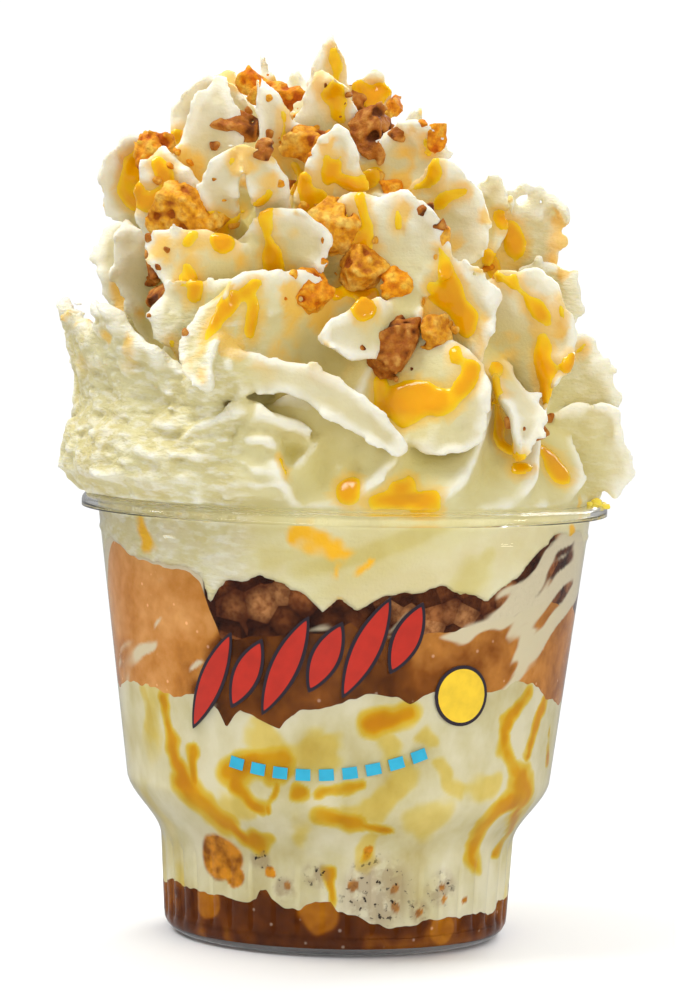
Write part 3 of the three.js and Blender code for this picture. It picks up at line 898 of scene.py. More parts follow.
def filling():
    syrup = compote_material("compote", (196, 126, 20), (150, 86, 4), (110, 54, 0), (72, 28, 0))
    apple = compote_material("apple", (226, 166, 98), (196, 130, 56), (134, 74, 18), (74, 34, 2))
    low = ragged(boundary(COMPOTE_TOP_LINE, BACK_COMPOTE, 3), 0.5)
    middle = ragged(boundary(ICE_CREAM_TOP_LINE, BACK_ICE_CREAM, 4), 0.7)
    upper = ragged(boundary(APPLE_TOP_LINE, BACK_APPLE, 5), 0.5)
    top = ragged(boundary(CREAM_FLOOR_LINE, BACK_CREAM, 5), 0.6)
    first = layer("compote_bottom", layer_floor, low, syrup, syrup_colouring)
    place(first, "compote", "compote_bottom")
    body = layer("ice_cream", low, middle, ice_cream_material(), ice_cream_colouring)
    place(body, "ice_cream", "ice_cream")
    fruit = layer("compote_middle", middle, upper, apple, apple_colouring)
    place(fruit, "apple", "compote_middle")
    crumbs = layer("crust_layer", upper, top, crumble_material(), crumble_colouring)
    place(crumbs, "crumble", "crust_layer")
    return top


# ---- The whipped cream ----
def fold(root, middle, tip, width, depth, face, taper=0.0, rough=0.0):
    """A piped blade along a bent spine. `face` is the azimuth its broad side looks to, `taper`
    how pointed its tip is, and `rough` how torn it is."""
    return (root, middle, tip), width, depth, face, taper, rough


FRONT_FOLDS = [
    # the crown
    fold((-4.5, 1, 138), (-4.5, 0, 148), (-4.3, 1, 156), 9, 7, -90, 0.7),
    fold((-12, 7, 138), (-14.5, 8, 146), (-16.7, 8, 154), 6, 4, -90, 1),
    fold((-22, 8, 130), (-25, 11, 140), (-25.5, 12, 149), 13, 4.5, -90, 0.1),
    fold((-23, -8, 118), (-26, -13, 134), (-22.8, -10, 148), 17, 5, -92, 0.75),
    fold((-10, -8, 128), (-12.5, -14, 138), (-16, -11, 148), 8, 5.5, -85, 0.7),
    fold((-5, -3, 132), (-4, -9.5, 141), (-5.3, -8, 149), 12, 5, -90, 0.5),
    fold((0, 2, 138), (2, 1, 144), (3.5, 3, 149.5), 9, 5, -90),
    fold((4, 0, 128), (10, -2, 138), (11.5, -1, 144), 5, 4, -90, 0.5),
    # the second tier
    fold((-4, -13, 120), (-3.5, -22, 131), (-2, -20, 139.5), 11, 6, -90, 0.35),
    fold((-1, -8, 128), (6, -15, 135), (15.5, -13, 136.5), 12, 5.5, -85),
    fold((4, -8, 118), (15, -18, 125), (21.5, -15, 128), 18, 5, -80),
    fold((-6, -18, 112), (4, -29, 119), (15.5, -28, 120.5), 22, 5.5, -88),
    fold((-16, -17, 112), (-12, -29, 119), (-4.5, -28, 122), 16, 5, -85, 0.2),
    fold((-18, -8, 117), (-26, -27, 130), (-18.5, -27, 135.8), 6, 6.5, -90),
    fold((-15, -8, 117), (-10, -27, 129), (-18.5, -27, 135.8), 6, 6.5, -90),
    fold((-22, -6, 112), (-30, -14, 124), (-32, -12, 135), 16, 8, -105, 0.5),
    fold((-12, -18, 108), (-22, -31, 116), (-33, -24, 120), 14, 6, -95, 0.4),
    fold((-10, -20, 98), (-22, -33, 106), (-30, -26, 111), 17, 7, -100, 0.3),
    fold((-28, 4, 118), (-35, 3, 126), (-38.5, 3, 137.5), 15, 6, -90),
    fold((-26, 2, 102), (-34, -1, 112), (-38.5, 0, 122), 14, 6, -95, 0.4),
    # the third tier
    fold((2, -22, 101), (-11, -36, 108), (-22, -37, 106), 20, 5, -82),
    fold((-15, -34, 112), (-28, -38, 107), (-22.5, -42, 97), 6, 6, -100),
    fold((-23, -39, 97), (-9, -45, 104), (8.5, -39, 87.5), 6, 6, -90),
    fold((10, -26, 107), (3, -36, 107), (-4, -37, 105), 10, 6, -90, 0.2),
    fold((6, -18, 102), (16, -31, 111), (23.5, -28, 111), 18, 6, -80),
    fold((4, -24, 102), (14, -38, 97), (20.5, -34, 89), 19, 7, -85, 0.3),
    fold((18, -12, 104), (30, -29, 99), (28, -30, 87), 7, 6, -60, 0.2),
    fold((16, -8, 96), (27, -21, 106), (36, -20, 105), 24, 6, -70),
    fold((18, 6, 102), (27, 8, 117), (33, 9, 130), 17, 4.5, -85, 0.1, 0.5),
    fold((14, 4, 112), (20, 6, 122), (25, 6, 132), 11, 5, -85, 0.3, 0.45),
    fold((24, 4, 96), (32, 6, 108), (36, 8, 117), 14, 5, -85, 0.2, 0.5),
    fold((28, -4, 80), (37, -4, 93), (40, -2, 105), 17, 6, -75, 0.3, 0.6),
    fold((30, -6, 76), (39, -8, 86), (43.5, -5, 92), 17, 7, -70, 0.2, 0.6),
    # the lower swirl
    fold((-22, -30, 84), (-7, -40, 88), (7.5, -37, 87), 15, 6, -92, 0.1),
    fold((-8, -28, 90), (-18, -35, 92), (-25, -32, 94), 15, 7, -98),
    fold((-14, -20, 82), (-15, -37, 86), (-16, -39, 93), 22, 9, -100),
    fold((-20, -20, 86), (-22, -32, 90), (-22, -35, 95), 14, 8, -105),
]

# The far side's tiers: count, first and last azimuth, radius, root and tip heights, width, depth.
BACK_TIERS = [
    (7, 20, 160, 39, 77, 103, 21, 9),
    (6, 28, 158, 31, 94, 121, 20, 8),
    (5, 30, 150, 22, 108, 135, 17, 7),
    (3, 45, 135, 11, 124, 147, 13, 6),
]


def back_folds():
    """Tiers of folds round the far side, each a little different."""
    folds = []
    for tier, (count, first, last, radius, low, top, width, depth) in enumerate(BACK_TIERS):
        for n in range(count):
            seed = 10 * tier + n
            az = mix(first, last, n / (count - 1)) + 5 * scatter(seed)
            high = top + 3 * scatter(seed + 50)
            lean = LEAN * max(high - LEAN_FROM, 0)

            def at(reach, turn, height):
                angle = math.radians(az + turn)
                return reach * math.cos(angle) - lean, reach * math.sin(angle), height

            folds.append(fold(
                at(radius - 12, -6, low),
                at(radius + 3, 2, (low + high) / 2),
                at(radius + 3 + scatter(seed + 90), 10, high),
                width * (1 + 0.15 * scatter(seed + 20)),
                depth,
                az + 25 * scatter(seed + 70),
                0.2 + 0.2 * scatter(seed + 30),
            ))
    return folds


def bezier(spine, t):
    """Points of the bent spine and its unit direction, each as three arrays."""
    a, b, c = np.array(spine, np.float32)
    centre = [(1 - t) ** 2 * a[k] + 2 * t * (1 - t) * b[k] + t * t * c[k] for k in range(3)]
    slope = [2 * (1 - t) * (b[k] - a[k]) + 2 * t * (c[k] - b[k]) for k in range(3)]
    return centre, unit(slope)


def nearest_on_spine(spine, x, y, z):
    """How far along the spine, from 0 to 1, each point's nearest place is, and its length."""
    pieces = 9
    knots = np.stack(bezier(spine, np.linspace(0, 1, pieces + 1, dtype=np.float32))[0], 1)
    best, t = np.float32(np.inf), np.float32(0)
    for n in range(pieces):
        share, gap = to_segment(x, y, z, knots[n], knots[n + 1])
        closer = gap < best
        best = np.where(closer, gap, best)
        t = np.where(closer, (n + share) / pieces, t)
    return t, float(np.linalg.norm(knots[-1] - knots[0]))


def fold_field(shape, x, y, z, texture):
    """Distance to a fold, and how far it blends into its neighbours."""
    spine, width, depth, face, taper, rough = shape
    look = (math.cos(math.radians(face)), math.sin(math.radians(face)), 0)
    curl = 2.0
    spine = [
        [p + curl * bend * q for p, q in zip(point, look)]
        for point, bend in zip(spine, (0, -0.3, 1.5))
    ]
    t, length = nearest_on_spine(spine, x, y, z)
    centre, run = bezier(spine, t)
    across = unit(cross(run, look))
    offset = [x - centre[0], y - centre[1], z - centre[2]]
    along = dot(offset, across)
    over = dot(offset, run)
    through = dot(offset, cross(across, run))
    narrow_from = 0.6 - 0.35 * taper
    tip_width = 0.42 * (1 - 0.75 * taper)
    ease = np.clip((t - narrow_from) / (1 - narrow_from), 0, 1)
    blunt = np.sqrt(1 - (1 - tip_width**2) * ease**2)
    pointed = 1 - (1 - tip_width) * ease
    half = 0.55 * width * (0.85 + 0.15 * smooth(t)) * mix(blunt, pointed, taper)
    half = half * (1 + 0.14 * texture["lumps"])
    u = np.clip(np.abs(along) / half, 0, 1.3)
    phase = 3.1 * spine[0][0] + 1.7 * spine[2][2]
    ruffle = 0.5 * np.sin(2 * math.pi * t * length / 8 + phase) * np.sign(along) * u * u
    through = through - curl * u * u * (0.4 + 0.6 * t) - ruffle - 0.7 * texture["lumps"] * t
    sheet = 0.4 * depth * (1.15 - 0.65 * t) * (1 - 0.75 * np.minimum(u, 1) ** 3)
    sheet = np.maximum(sheet, 0.6)
    side = np.maximum(np.abs(along) - (half - sheet * 0.8), 0)
    distance = np.sqrt(side**2 + through**2 + over**2) - sheet
    edge = smooth((np.maximum(u, t) - 0.6) / 0.35)
    distance = distance + (0.18 * texture["grain"] + 0.42 * texture["tears"]) * edge
    if rough:
        torn = 0.4 * texture["layers"] + texture["tears"] * (0.1 + 0.8 * edge)
        distance = distance + rough * torn
    return distance, 0.9 + 3.6 * (1 - smooth(t / 0.45))


# The torn slab on the left: heights with its outside radius, and azimuths with its ragged top.
SLAB_SIDE = [
    (74.5, 43.8), (76.5, 45.5), (78.6, 47.6), (80.7, 49.4), (84.9, 49.0), (89.2, 47.6),
    (93.4, 46.2), (97.6, 47.4), (101.8, 48.9), (106, 50.4), (112, 51.5),
]
SLAB_TOP = [
    (-225, 70), (-205, 96), (-190, 103), (-176, 108.5), (-162, 108), (-156, 107), (-149, 112.5),
    (-142, 109), (-133, 104), (-125, 98.5), (-118, 93), (-114, 88.5), (-111, 92), (-106, 90.5),
    (-103, 83), (-99.5, 77), (-97, 70),
]


def slab_field(x, y, z, texture):
    """The layered slab that leans out over the rim."""
    az = np.degrees(np.arctan2(y, x))
    az = np.where(az > 90, az - 360, az)
    ring = np.sqrt(x * x + y * y)
    heights, radii = zip(*SLAB_SIDE)
    side = np.interp(z.ravel(), heights, radii).reshape(z.shape)
    side = side - 2.5 * smooth((az + 128) / 22)
    # Layers that overhang one another, sloping down to the right.
    step = (z + 0.07 * (az + 180) + 1.2 * texture["lumps"] - 77) / 5.2
    shelf = step - np.floor(step)
    low = smooth((96 - z) / 8)
    side = side + low * (0.8 * smooth(shelf / 0.25) * (1 - 0.8 * shelf) - 0.3)
    side = side + 0.7 * texture["layers"] + 0.4 * texture["lumps"]
    side = side + 0.42 * texture["scratches"] + 0.3 * texture["tears"]
    tops, levels = zip(*SLAB_TOP)
    top = np.interp(az.ravel(), tops, levels).reshape(az.shape)
    top = top + 1.1 * texture["jags"] + 0.9 * texture["tears"] + 0.5 * texture["grain"]
    thick = mix(8.5, 3.2, smooth((z - 80) / 26)) + 0.5 * texture["tears"]
    wall = np.maximum(ring - side, side - thick - ring)
    return overlap(wall, (z - top) * 0.8, 2.0)


def core_field(x, y, z, lumps):
    """The head's middle, with piped ridges that wind round it as it rises and leans."""
    radii, heights = zip(*CORE)
    radius = np.interp(z.ravel(), heights, radii).reshape(z.shape).astype(np.float32)
    lean = LEAN * np.maximum(z - LEAN_FROM, 0)
    az = np.degrees(np.arctan2(y, x + lean))
    ridge = 1 - np.abs(np.sin(np.radians((az + z * TWIST) * RIDGES / 2 + 20)))
    radius = radius + mix(2.5, 4.5, smooth((100 - z) / 8)) * ridge * smooth((z - 76.5) / 6)
    distance = (np.sqrt((x + lean) ** 2 + y * y) - radius) * 0.8
    return np.maximum(distance, z - CORE_TOP) + 0.1 * lumps


def cream_volume(floor):
    """The whole cream: the middle, the slab, the folds and the plug in the mouth of the cup."""
    v = Volume(CREAM_LOW, CREAM_HIGH, CREAM_STEP)
    texture = {
        "grain": v.noise((1.3, 1.3, 1.3), 1),
        "lumps": v.noise((6, 6, 6), 2),
        "layers": 0.6 * v.noise((14, 14, 3.0), 3) + 0.25 * v.noise((5, 5, 1.4), 4),
        "tears": v.noise((2.4, 2.4, 2.4), 5),
        "jags": v.noise((4.5, 4.5, 60), 6),
        "scratches": v.noise((2.6, 2.6, 0.9), 7),
    }
    x, y, z = v.whole()
    v.field = core_field(x, y, z, texture["lumps"])
    v.field = union(v.field, slab_field(x, y, z, texture), 2.0)
    for shape in FRONT_FOLDS + back_folds():
        corners = np.array(shape[0])
        pad = max(shape[1] / 2, shape[2]) + 2.5
        cut, bx, by, bz = v.block(corners.min(0) - pad, corners.max(0) + pad)
        here = {key: values[cut] for key, values in texture.items()}
        distance, blend = fold_field(shape, bx, by, bz, here)
        v.field[cut] = union(v.field[cut], distance, blend)
    v.field += 0.05 * texture["grain"] + 0.17 * v.noise((3.2, 3.2, 3.2), 8)
    # Inside the cup the cream fills the wall down to its wavy floor.
    ring = np.sqrt(x * x + y * y)
    side = ring - (wall_radius(z) - WALL + SUNK)
    plug = overlap(side, z - RIM_TOP + 1 + 0.5 * texture["lumps"], 2.0)
    v.field = np.where(z < RIM_TOP + 0.3, np.maximum(v.field, side), v.field)
    v.field = union(v.field, plug, 1.5)
    az = np.degrees(np.arctan2(y, x)) + 0 * z
    lowest = floor(az[:, :, 0].ravel()).reshape(az.shape[:2])[:, :, None]
    v.field = np.maximum(v.field, lowest - 0.3 - z).astype(np.float32)
    return v


# ---- The sauce ----
# Streams and drops as seen from the front: radius, then (x, z) points in the axis plane.
SAUCE = [
    (1.2, (-3.6, 154), (-3.0, 151), (-3.2, 148), (-4.5, 146.5)),
    (1.1, (-6, 150.5), (-6.5, 148.5)),
    (1.6, (-2.7, 144.5), (-2.7, 143)),
    (2.2, (0.5, 148), (3.5, 146.5), (5.5, 148.5)),
    (1.8, (1, 145), (4, 146)),
    (0.9, (-12.2, 143.5), (-12, 140), (-11.5, 136)),
    (1.6, (-10, 134), (-8.5, 131.5), (-10, 130)),
    (1.0, (-5, 137), (-4, 134), (-4.5, 131.5)),
    (1.0, (-2, 136), (-3, 133)),
    (1.6, (-1.5, 131.5), (1, 130.3), (4, 132.5)),
    (2.0, (-4, 127), (-2, 124), (-1.5, 121)),
    (1.5, (1.5, 129), (2.3, 124.5), (2, 120.5)),
    (1.0, (8, 127), (8, 124)),
    (0.8, (10.5, 130), (13, 131.5), (15, 133.5)),
    (1.2, (14.5, 127.5), (17, 129.5), (20, 130.5)),
    (1.0, (13, 139), (13, 137)),
    (1.2, (14.6, 136), (14.2, 133)),
    (1.5, (-9, 133), (-8, 129.5), (-7, 126.5)),
    (1.3, (-5.5, 129.5), (-3.5, 127.5)),
    (1.4, (-36.5, 136), (-38, 132), (-37, 128.5)),
    (1.2, (-28.5, 116), (-27, 113), (-27.5, 111)),
    (1.0, (36.5, 112), (37.5, 109)),
    (1.3, (16, 120), (17, 117), (17, 114)),
    (1.7, (17, 116), (19, 111), (20.5, 108)),
    (2.1, (20.5, 108), (20.6, 106)),
    (1.6, (14, 113.5), (18, 111)),
    (1.1, (-15, 127.5), (-15.3, 124), (-14, 120)),
    (1.5, (-14, 120), (-13.2, 116)),
    (1.0, (-17, 126), (-15.5, 128), (-14.5, 129.5)),
    (1.9, (-24, 125.5), (-23, 122), (-22, 120.5)),
    (0.9, (-20.5, 124), (-19, 126)),
    (0.8, (-20.5, 136.5), (-21, 134.5)),
    (1.8, (-28, 121.5), (-28.5, 120.5)),
    (1.5, (-40, 130), (-38.5, 134), (-35, 136.5), (-31, 138.5)),
    (1.6, (-40, 129), (-37.5, 127), (-34, 128)),
    (1.6, (-34, 134), (-32.5, 131.5)),
    (1.2, (-29.5, 114.2), (-29.3, 113)),
    (1.2, (-18.5, 111.5), (-16.5, 113)),
    (1.5, (-24.5, 103.5), (-23, 107), (-21, 110)),
    (1.4, (-16.5, 111), (-16.8, 107.5), (-17.3, 105)),
    (1.5, (-31, 102.5), (-30.5, 101)),
    (0.8, (-25.5, 97.5), (-25.3, 96.5)),
    (1.9, (-2, 112), (1, 113), (3.5, 111.5), (2.5, 109.5)),
    (1.8, (5.5, 96.5), (6, 93.5), (9, 91.5), (13, 92), (16, 93.5)),
    (2.4, (8.5, 94.3), (13, 94.3)),
    (1.6, (10.5, 89.8), (13, 91.5)),
    (1.4, (18.5, 93), (20, 95.5), (22, 99.5)),
    (1.2, (18.5, 102.5), (19, 100.8)),
    (1.2, (26, 100), (26.3, 94), (26.6, 88)),
    (1.6, (27.5, 86), (30.5, 84), (31, 82)),
    (1.7, (33.5, 86), (35.5, 84), (38, 81)),
    (1.3, (27.5, 115), (30, 113), (33, 110), (34.5, 107.5)),
    (1.5, (34, 106.5), (34.3, 101), (34.4, 96)),
    (1.9, (34.4, 96), (34.5, 94.5)),
    (1.1, (41, 104), (38.5, 100.5)),
    (0.9, (28.8, 123), (28.8, 115.5)),
    (1.5, (24, 125.5), (26, 126), (28, 124), (28.5, 120)),
    (1.1, (23, 121), (26, 115.5)),
    (3.0, (0.5, 77.8), (0.6, 77.4)),
    (2.4, (9, 77.5), (11, 78)),
    (1.7, (5, 75.9), (15, 75.9)),
    (0.9, (-11.5, 82.5), (-10.5, 80.5)),
    (1.2, (41, 75.6), (41, 75.2)),
]
# Drops on the lip: radius, x, y and z.
LIP_DROPS = [
    (1.2, 43.6, -9, 77), (0.9, 45.4, -8, 76.2), (0.8, 42.2, -13.5, 77), (0.7, 45.2, -4.5, 76.6),
]
SAUCE_RISE = 0.5  # how proud the sauce stands
STREAM_HOP = 3.8  # the widest gap that a stream crosses


def seat(cream, x, z, sunk=0.0):
    """The point of the cream that shows at x, z of the axis plane in the front view, moved back
    by `sunk`."""
    away = np.array((x, 0.0, z)) - EYE
    shares = np.arange(0.9, 1.08, 0.0004)
    line = EYE + shares[:, None] * away
    inside = cream.sample(line) < 0
    hit = int(np.argmax(inside)) if inside.any() else len(line) // 2
    return line[hit] + np.array((0, sunk, 0))


def draped(cream, line):
    """Closely spaced points of the cream along a line seen from the front."""
    spacing = 1.2
    path = []
    for (x0, z0), (x1, z1) in zip(line[:-1], line[1:]):
        count = max(int(math.hypot(x1 - x0, z1 - z0) / spacing), 1)
        for n in range(count):
            share = n / count
            path.append(seat(cream, mix(x0, x1, share), mix(z0, z1, share)))
    path.append(seat(cream, *line[-1]))
    return path


def back_sauce(cream):
    """Streams down the far side, from scattered starts."""
    streams = []
    count = 16
    for n in range(count):
        az = math.radians(25 + 130 * (n + 0.5 + 0.4 * scatter(n + 7)) / count)
        high = mix(98, 146, (scatter(n + 31) + 1) / 2)
        length = 7 + 3 * scatter(n + 61)
        path = []
        for down in np.linspace(0, length, 4):
            height = high - down
            reach = np.arange(70, 0, -0.3)
            lean = LEAN * max(height - LEAN_FROM, 0)
            line = np.stack([
                reach * math.cos(az + 0.02 * down) - lean,
                reach * math.sin(az + 0.02 * down),
                np.full(len(reach), height),
            ], 1)
            inside = cream.sample(line) < 0
            path.append(line[int(np.argmax(inside))])
        streams.append((1.3 + 0.4 * scatter(n + 90), path))
    return streams


def sauce_volume(cream):
    """Where the cream lies close under a stream, the sauce covers it with a rounded skin.
    The second volume is the distance to the nearest stream."""
    near = np.full(cream.field.shape, 9.0, np.float32)
    streams = [(radius, draped(cream, line)) for radius, *line in SAUCE] + back_sauce(cream)
    for radius, path in streams:
        last = len(path) - 1
        for n, (a, b) in enumerate(zip(path[:-1], path[1:])):
            # A stream breaks where it would hop from one fold to another, and swells downwards.
            if np.linalg.norm(b - a) > STREAM_HOP:
                a = b + 0.3 * (a - b) / np.linalg.norm(a - b)
            width = radius * mix(0.7, 1.1, n / last)
            pad = radius + 3
            cut, x, y, z = cream.block(np.minimum(a, b) - pad, np.maximum(a, b) + pad)
            gap = np.sqrt(to_segment(x, y, z, a, b)[1])
            near[cut] = union(near[cut], gap - 1.35 * width, 0.8)
    sauce = Volume(CREAM_LOW, CREAM_HIGH, CREAM_STEP)
    near += 0.4 * cream.noise((2.4, 2.4, 2.4), 12) + 0.3 * cream.noise((5, 5, 5), 13)
    skin = overlap(near, cream.field - SAUCE_RISE, 1.6)
    x, y, z = cream.whole()
    wall = np.sqrt(x * x + y * y) - (wall_radius(z) - WALL + SUNK + 0.12)
    skin = np.where(z < RIM_TOP + 0.3, np.maximum(skin, wall), skin)
    sauce.field = np.maximum(skin, -cream.field - 0.9).astype(np.float32)
    for radius, *centre in LIP_DROPS:
        cut, x, y, z = sauce.block(np.array(centre) - 3, np.array(centre) + 3)
        gap = np.sqrt((x - centre[0]) ** 2 + (y - centre[1]) ** 2 + (1.4 * (z - centre[2])) ** 2)
        sauce.field[cut] = union(sauce.field[cut], gap - radius, 0.6)
    return sauce, near


def pressed(points):
    """The painted shade of the cream on the wall: painted shade lines along the creases between folds, and
    uneven torn patches.
    """
    az = np.degrees(np.arctan2(points[:, 1], points[:, 0]))
    torn = 0.3 * RAGGED(points * (1, 1, 2.2) + 25, 6) + 0.3 * RAGGED(points * (1, 1, 2) + 65, 1.4)
    right = smooth((az + 115) / 25)
    # Painted shade: darker yellow-green lines along the creases.
    crease_shade = smooth(1.6 * streaked(points, PAINTED_CREASE_SHADE, 0.2 * wander(points)))
    above = smooth((points[:, 2] - 63 - 0.42 * (points[:, 0] - 3)) / 3)
    folded = 0.24 + 0.1 * above + 0.32 * crease_shade + 0.08 * torn
    return mix(0.26 + 0.55 * torn, folded, right)


# Caramel on the cream inside the cup, as seen from the front.
CREAM_STREAKS = [
    (1.0, (-8, 72.3), (-3, 71.4)),
    (1.9, (-7.5, 68.8), (-4, 67.8), (0, 66.6)),
    (1.0, (0.3, 65.5), (-0.5, 61), (-2, 57)),
    (0.8, (4.5, 64), (2.5, 61)),
    (2.3, (-35.6, 69), (-34.6, 67.6)),
    (1.0, (-29, 74), (-24, 73)),
    (1.0, (40, 72), (40.5, 68), (39.5, 64)),
]
# Lines of painted shade along the creases between its folds, as seen from the front.
PAINTED_CREASE_SHADE = [
    (1.3, (-8, 63.4), (-1.7, 64.7), (5.5, 66.8), (13.3, 70.2), (20, 74)),
    (0.9, (25.6, 66.9), (24.4, 65), (23.4, 63.4)),
    (1.9, (23.4, 63.4), (21, 60.2)),
    (0.8, (-24, 71), (-16, 70.6), (-9, 71)),
    (0.8, (-22, 66.4), (-13, 65.6), (-6, 66.5)),
]


def torn_parts(points):
    """1 where the cream is torn: on the slab, at the far right and in the cup's left."""
    az = np.degrees(np.arctan2(points[:, 1], points[:, 0]))
    az = np.where(az > 90, az - 360, az)
    left = smooth((-108 - az) / 8) * smooth((112 - points[:, 2]) / 5)
    outward = np.hypot(points[:, 0], points[:, 1])
    left = left * smooth((outward - 36) / 4)
    right = smooth((points[:, 0] - 24) / 6) * smooth((points[:, 1] + 14) / 8)
    return np.clip(left + 0.6 * right, 0, 1)


def cream_and_sauce(floor):
    cream = cream_volume(floor)
    sauce, near = sauce_volume(cream)
    wide, fine = cream.blurred(4.5), cream.blurred(1.2)
    points, faces = cream.polygons()
    spots = RAGGED(points, 4.5) + 0.4 * RAGGED(points + 40, 1.8)
    film = 0.7 * smooth((spots - 0.32) / 0.25) * smooth((points[:, 2] - 96) / 10)
    soak = np.maximum(0.6 * smooth(1 - cream.sample(points, near)), film)
    inside = smooth((RIM_TOP - 1 - points[:, 2]) / 2)
    drawn = smooth((streaked(points, CREAM_STREAKS, wander(points)) - 0.25) * 3)
    soak = mix(soak, drawn, inside)
    torn = torn_parts(points)
    # Painted shade from how enclosed each point is by cream; less of it on the torn parts.
    painted_shade = cream.sample(points, wide)
    painted_shade = mix(painted_shade, 0.24 + 0.4 * painted_shade, torn)
    values = {
        "painted_shade": mix(painted_shade, pressed(points), inside),
        # Painted highlight on thin edges; none on the wall, where the value stays at 0.5.
        "edge": mix(cream.sample(points, fine), 0.5, inside),
        "torn": torn,
        "soak": soak,
    }
    head = mesh_object("whipped_cream", points, faces, cream_material(), values)
    # Fewer faces, but not where the colours on the wall need them.
    at_wall = (inside > 0) & (np.hypot(points[:, 0], points[:, 1]) > 40)
    free = head.vertex_groups.new(name="free")
    free.add(np.flatnonzero(~at_wall).tolist(), 1.0, "REPLACE")
    thin = head.modifiers.new("fewer_faces", "DECIMATE")
    thin.ratio = KEPT_FACES
    thin.vertex_group = "free"
    place(head, "cream", "whipped_cream")
    points, faces = sauce.polygons()
    thick = smooth((0.1 - cream.sample(points, near)) / 1.5)
    caramel = mesh_object("caramel", points, faces, caramel_material(), {"thick": thick})
    place(caramel, "caramel")
    return cream


# ---- The crust pieces ----
# The numbers of the crust nodes of two tones; the rest are golden.
PIECES = 23
DARK = [1, 6, 7, 12, 15, 16, 17, 19, 23]
ORANGE = [3, 4, 10, 11, 14, 21]
# Small crumbs as seen from the front: x, z, across, tall.
SMALL = {
    "dark": [
        (-15.5, 136.4, 3.6, 4.2), (11.5, 106, 2.6, 4.6), (13, 126.5, 3, 3.4), (-34.5, 113.5, 3, 3),
        (-14, 137.8, 1.4, 1.6), (10.5, 103, 1.6, 1.8), (7.8, 140, 3.6, 3.6), (-10.5, 130, 3, 3),
        (15.6, 124.5, 2.6, 3.4),
    ],
    "gold": [
        (16.2, 122, 2.4, 5), (17.8, 106.5, 1.6, 2.4), (5, 133, 4.5, 3), (15.2, 118.6, 1.6, 2.6),
        (-24, 131.5, 1.6, 1.4),
    ],
    "orange": [
        (7, 144.6, 4, 4.6), (14.7, 139.5, 3.4, 5.6), (7, 130.5, 4.6, 4.2), (24, 117.2, 3.4, 3),
        (-30, 138.5, 2.4, 3), (-17.6, 140.5, 2.2, 1.8), (-12.5, 131.3, 2, 2),
        (-7.3, 136, 1.5, 1.6), (12.2, 141.8, 2.2, 2), (-33, 132.5, 3, 3.4), (-12.8, 139, 1, 1),
        (3.5, 131.8, 1.8, 1.2), (25.5, 115.2, 1.6, 1.4), (-8.5, 127.4, 2.6, 2.8),
        (-6.5, 141, 1.6, 1.6), (5.5, 141.5, 2.4, 2.6),
    ],
}
LUMP_STEP = 0.32


def lump(centre, size, seed):
    """An irregular broken crumb: flat breaks, a lumpy skin and open pits."""
    half = np.array(size) / 2
    small = float(half.min())
    step = min(LUMP_STEP, small / 4)
    pad = 1.2
    v = Volume(-half - pad, half + pad, step)
    x, y, z = v.whole()
    rng = np.random.default_rng(seed)
    bulk = np.abs(x / half[0]) ** 4 + np.abs(y / half[1]) ** 4 + np.abs(z / half[2]) ** 4
    distance = (np.sqrt(np.sqrt(bulk)) - 1) * small
    for _ in range(12):
        way = rng.normal(size=3)
        way /= np.linalg.norm(way)
        support = np.linalg.norm(way * half)
        plane = way[0] * x + way[1] * y + way[2] * z - support * rng.uniform(0.55, 0.95)
        distance = overlap(distance, plane, 0.12)
    coarse = v.noise((2.0, 2.0, 2.0), seed + 1)
    fine = v.noise((0.9, 0.9, 0.9), seed + 2)
    rough = min(1.0, small / 2.5)
    relief = 0.16 * coarse + 0.2 * fine
    pits = np.maximum(coarse + 0.5 * fine - 0.8, 0) * 0.8
    v.field = (distance + rough * (relief + pits)).astype(np.float32)
    points, faces = v.polygons()
    # How proud each point stands, which drives the crust's painted shade in pits and painted light on
    # crests.
    raised = 0.5 - 0.9 * v.sample(points, relief + pits)
    return points + centre, faces, raised


def crumbs(name, lumps, material, slot, *nodes):
    """Many crumbs joined into one piece."""
    all_points, all_faces, relief, shade = [], [], [], []
    total = 0
    for n, (centre, size) in enumerate(lumps):
        points, faces, raised = lump(centre, size, 100 * n + len(name))
        all_points.append(points)
        all_faces += [[i + total for i in face] for face in faces]
        total += len(points)
        relief.append(raised)
        shade.append(np.full(len(points), (scatter(n + len(name)) + 1) / 2))
    values = {"relief": np.concatenate(relief), "shade": np.concatenate(shade)}
    piece = mesh_object(name, np.concatenate(all_points), all_faces, material, values)
    return place(piece, slot, *nodes)


def node_lump(node):
    low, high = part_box(node)
    return np.array((low + high) / 2) / MM, 1.15 * np.array(high - low) / MM


def satellites(cream, centre, size, seed):
    """A few crumbs that fell from a larger piece, where they can be seen from the front."""
    fallen = []
    for n in range(3):
        x = centre[0] + (0.5 * size[0] + 0.8) * scatter(seed + n)
        z = centre[2] + (0.5 * size[2] + 0.8) * scatter(seed + n + 0.5)
        across = 1.4 + 0.6 * scatter(seed + 2 * n)
        bed = seat(cream, x, z)
        if cream.sample(bed[None])[0] < 0.5:
            fallen.append((bed, (across, across, 1.1 * across)))
    return fallen


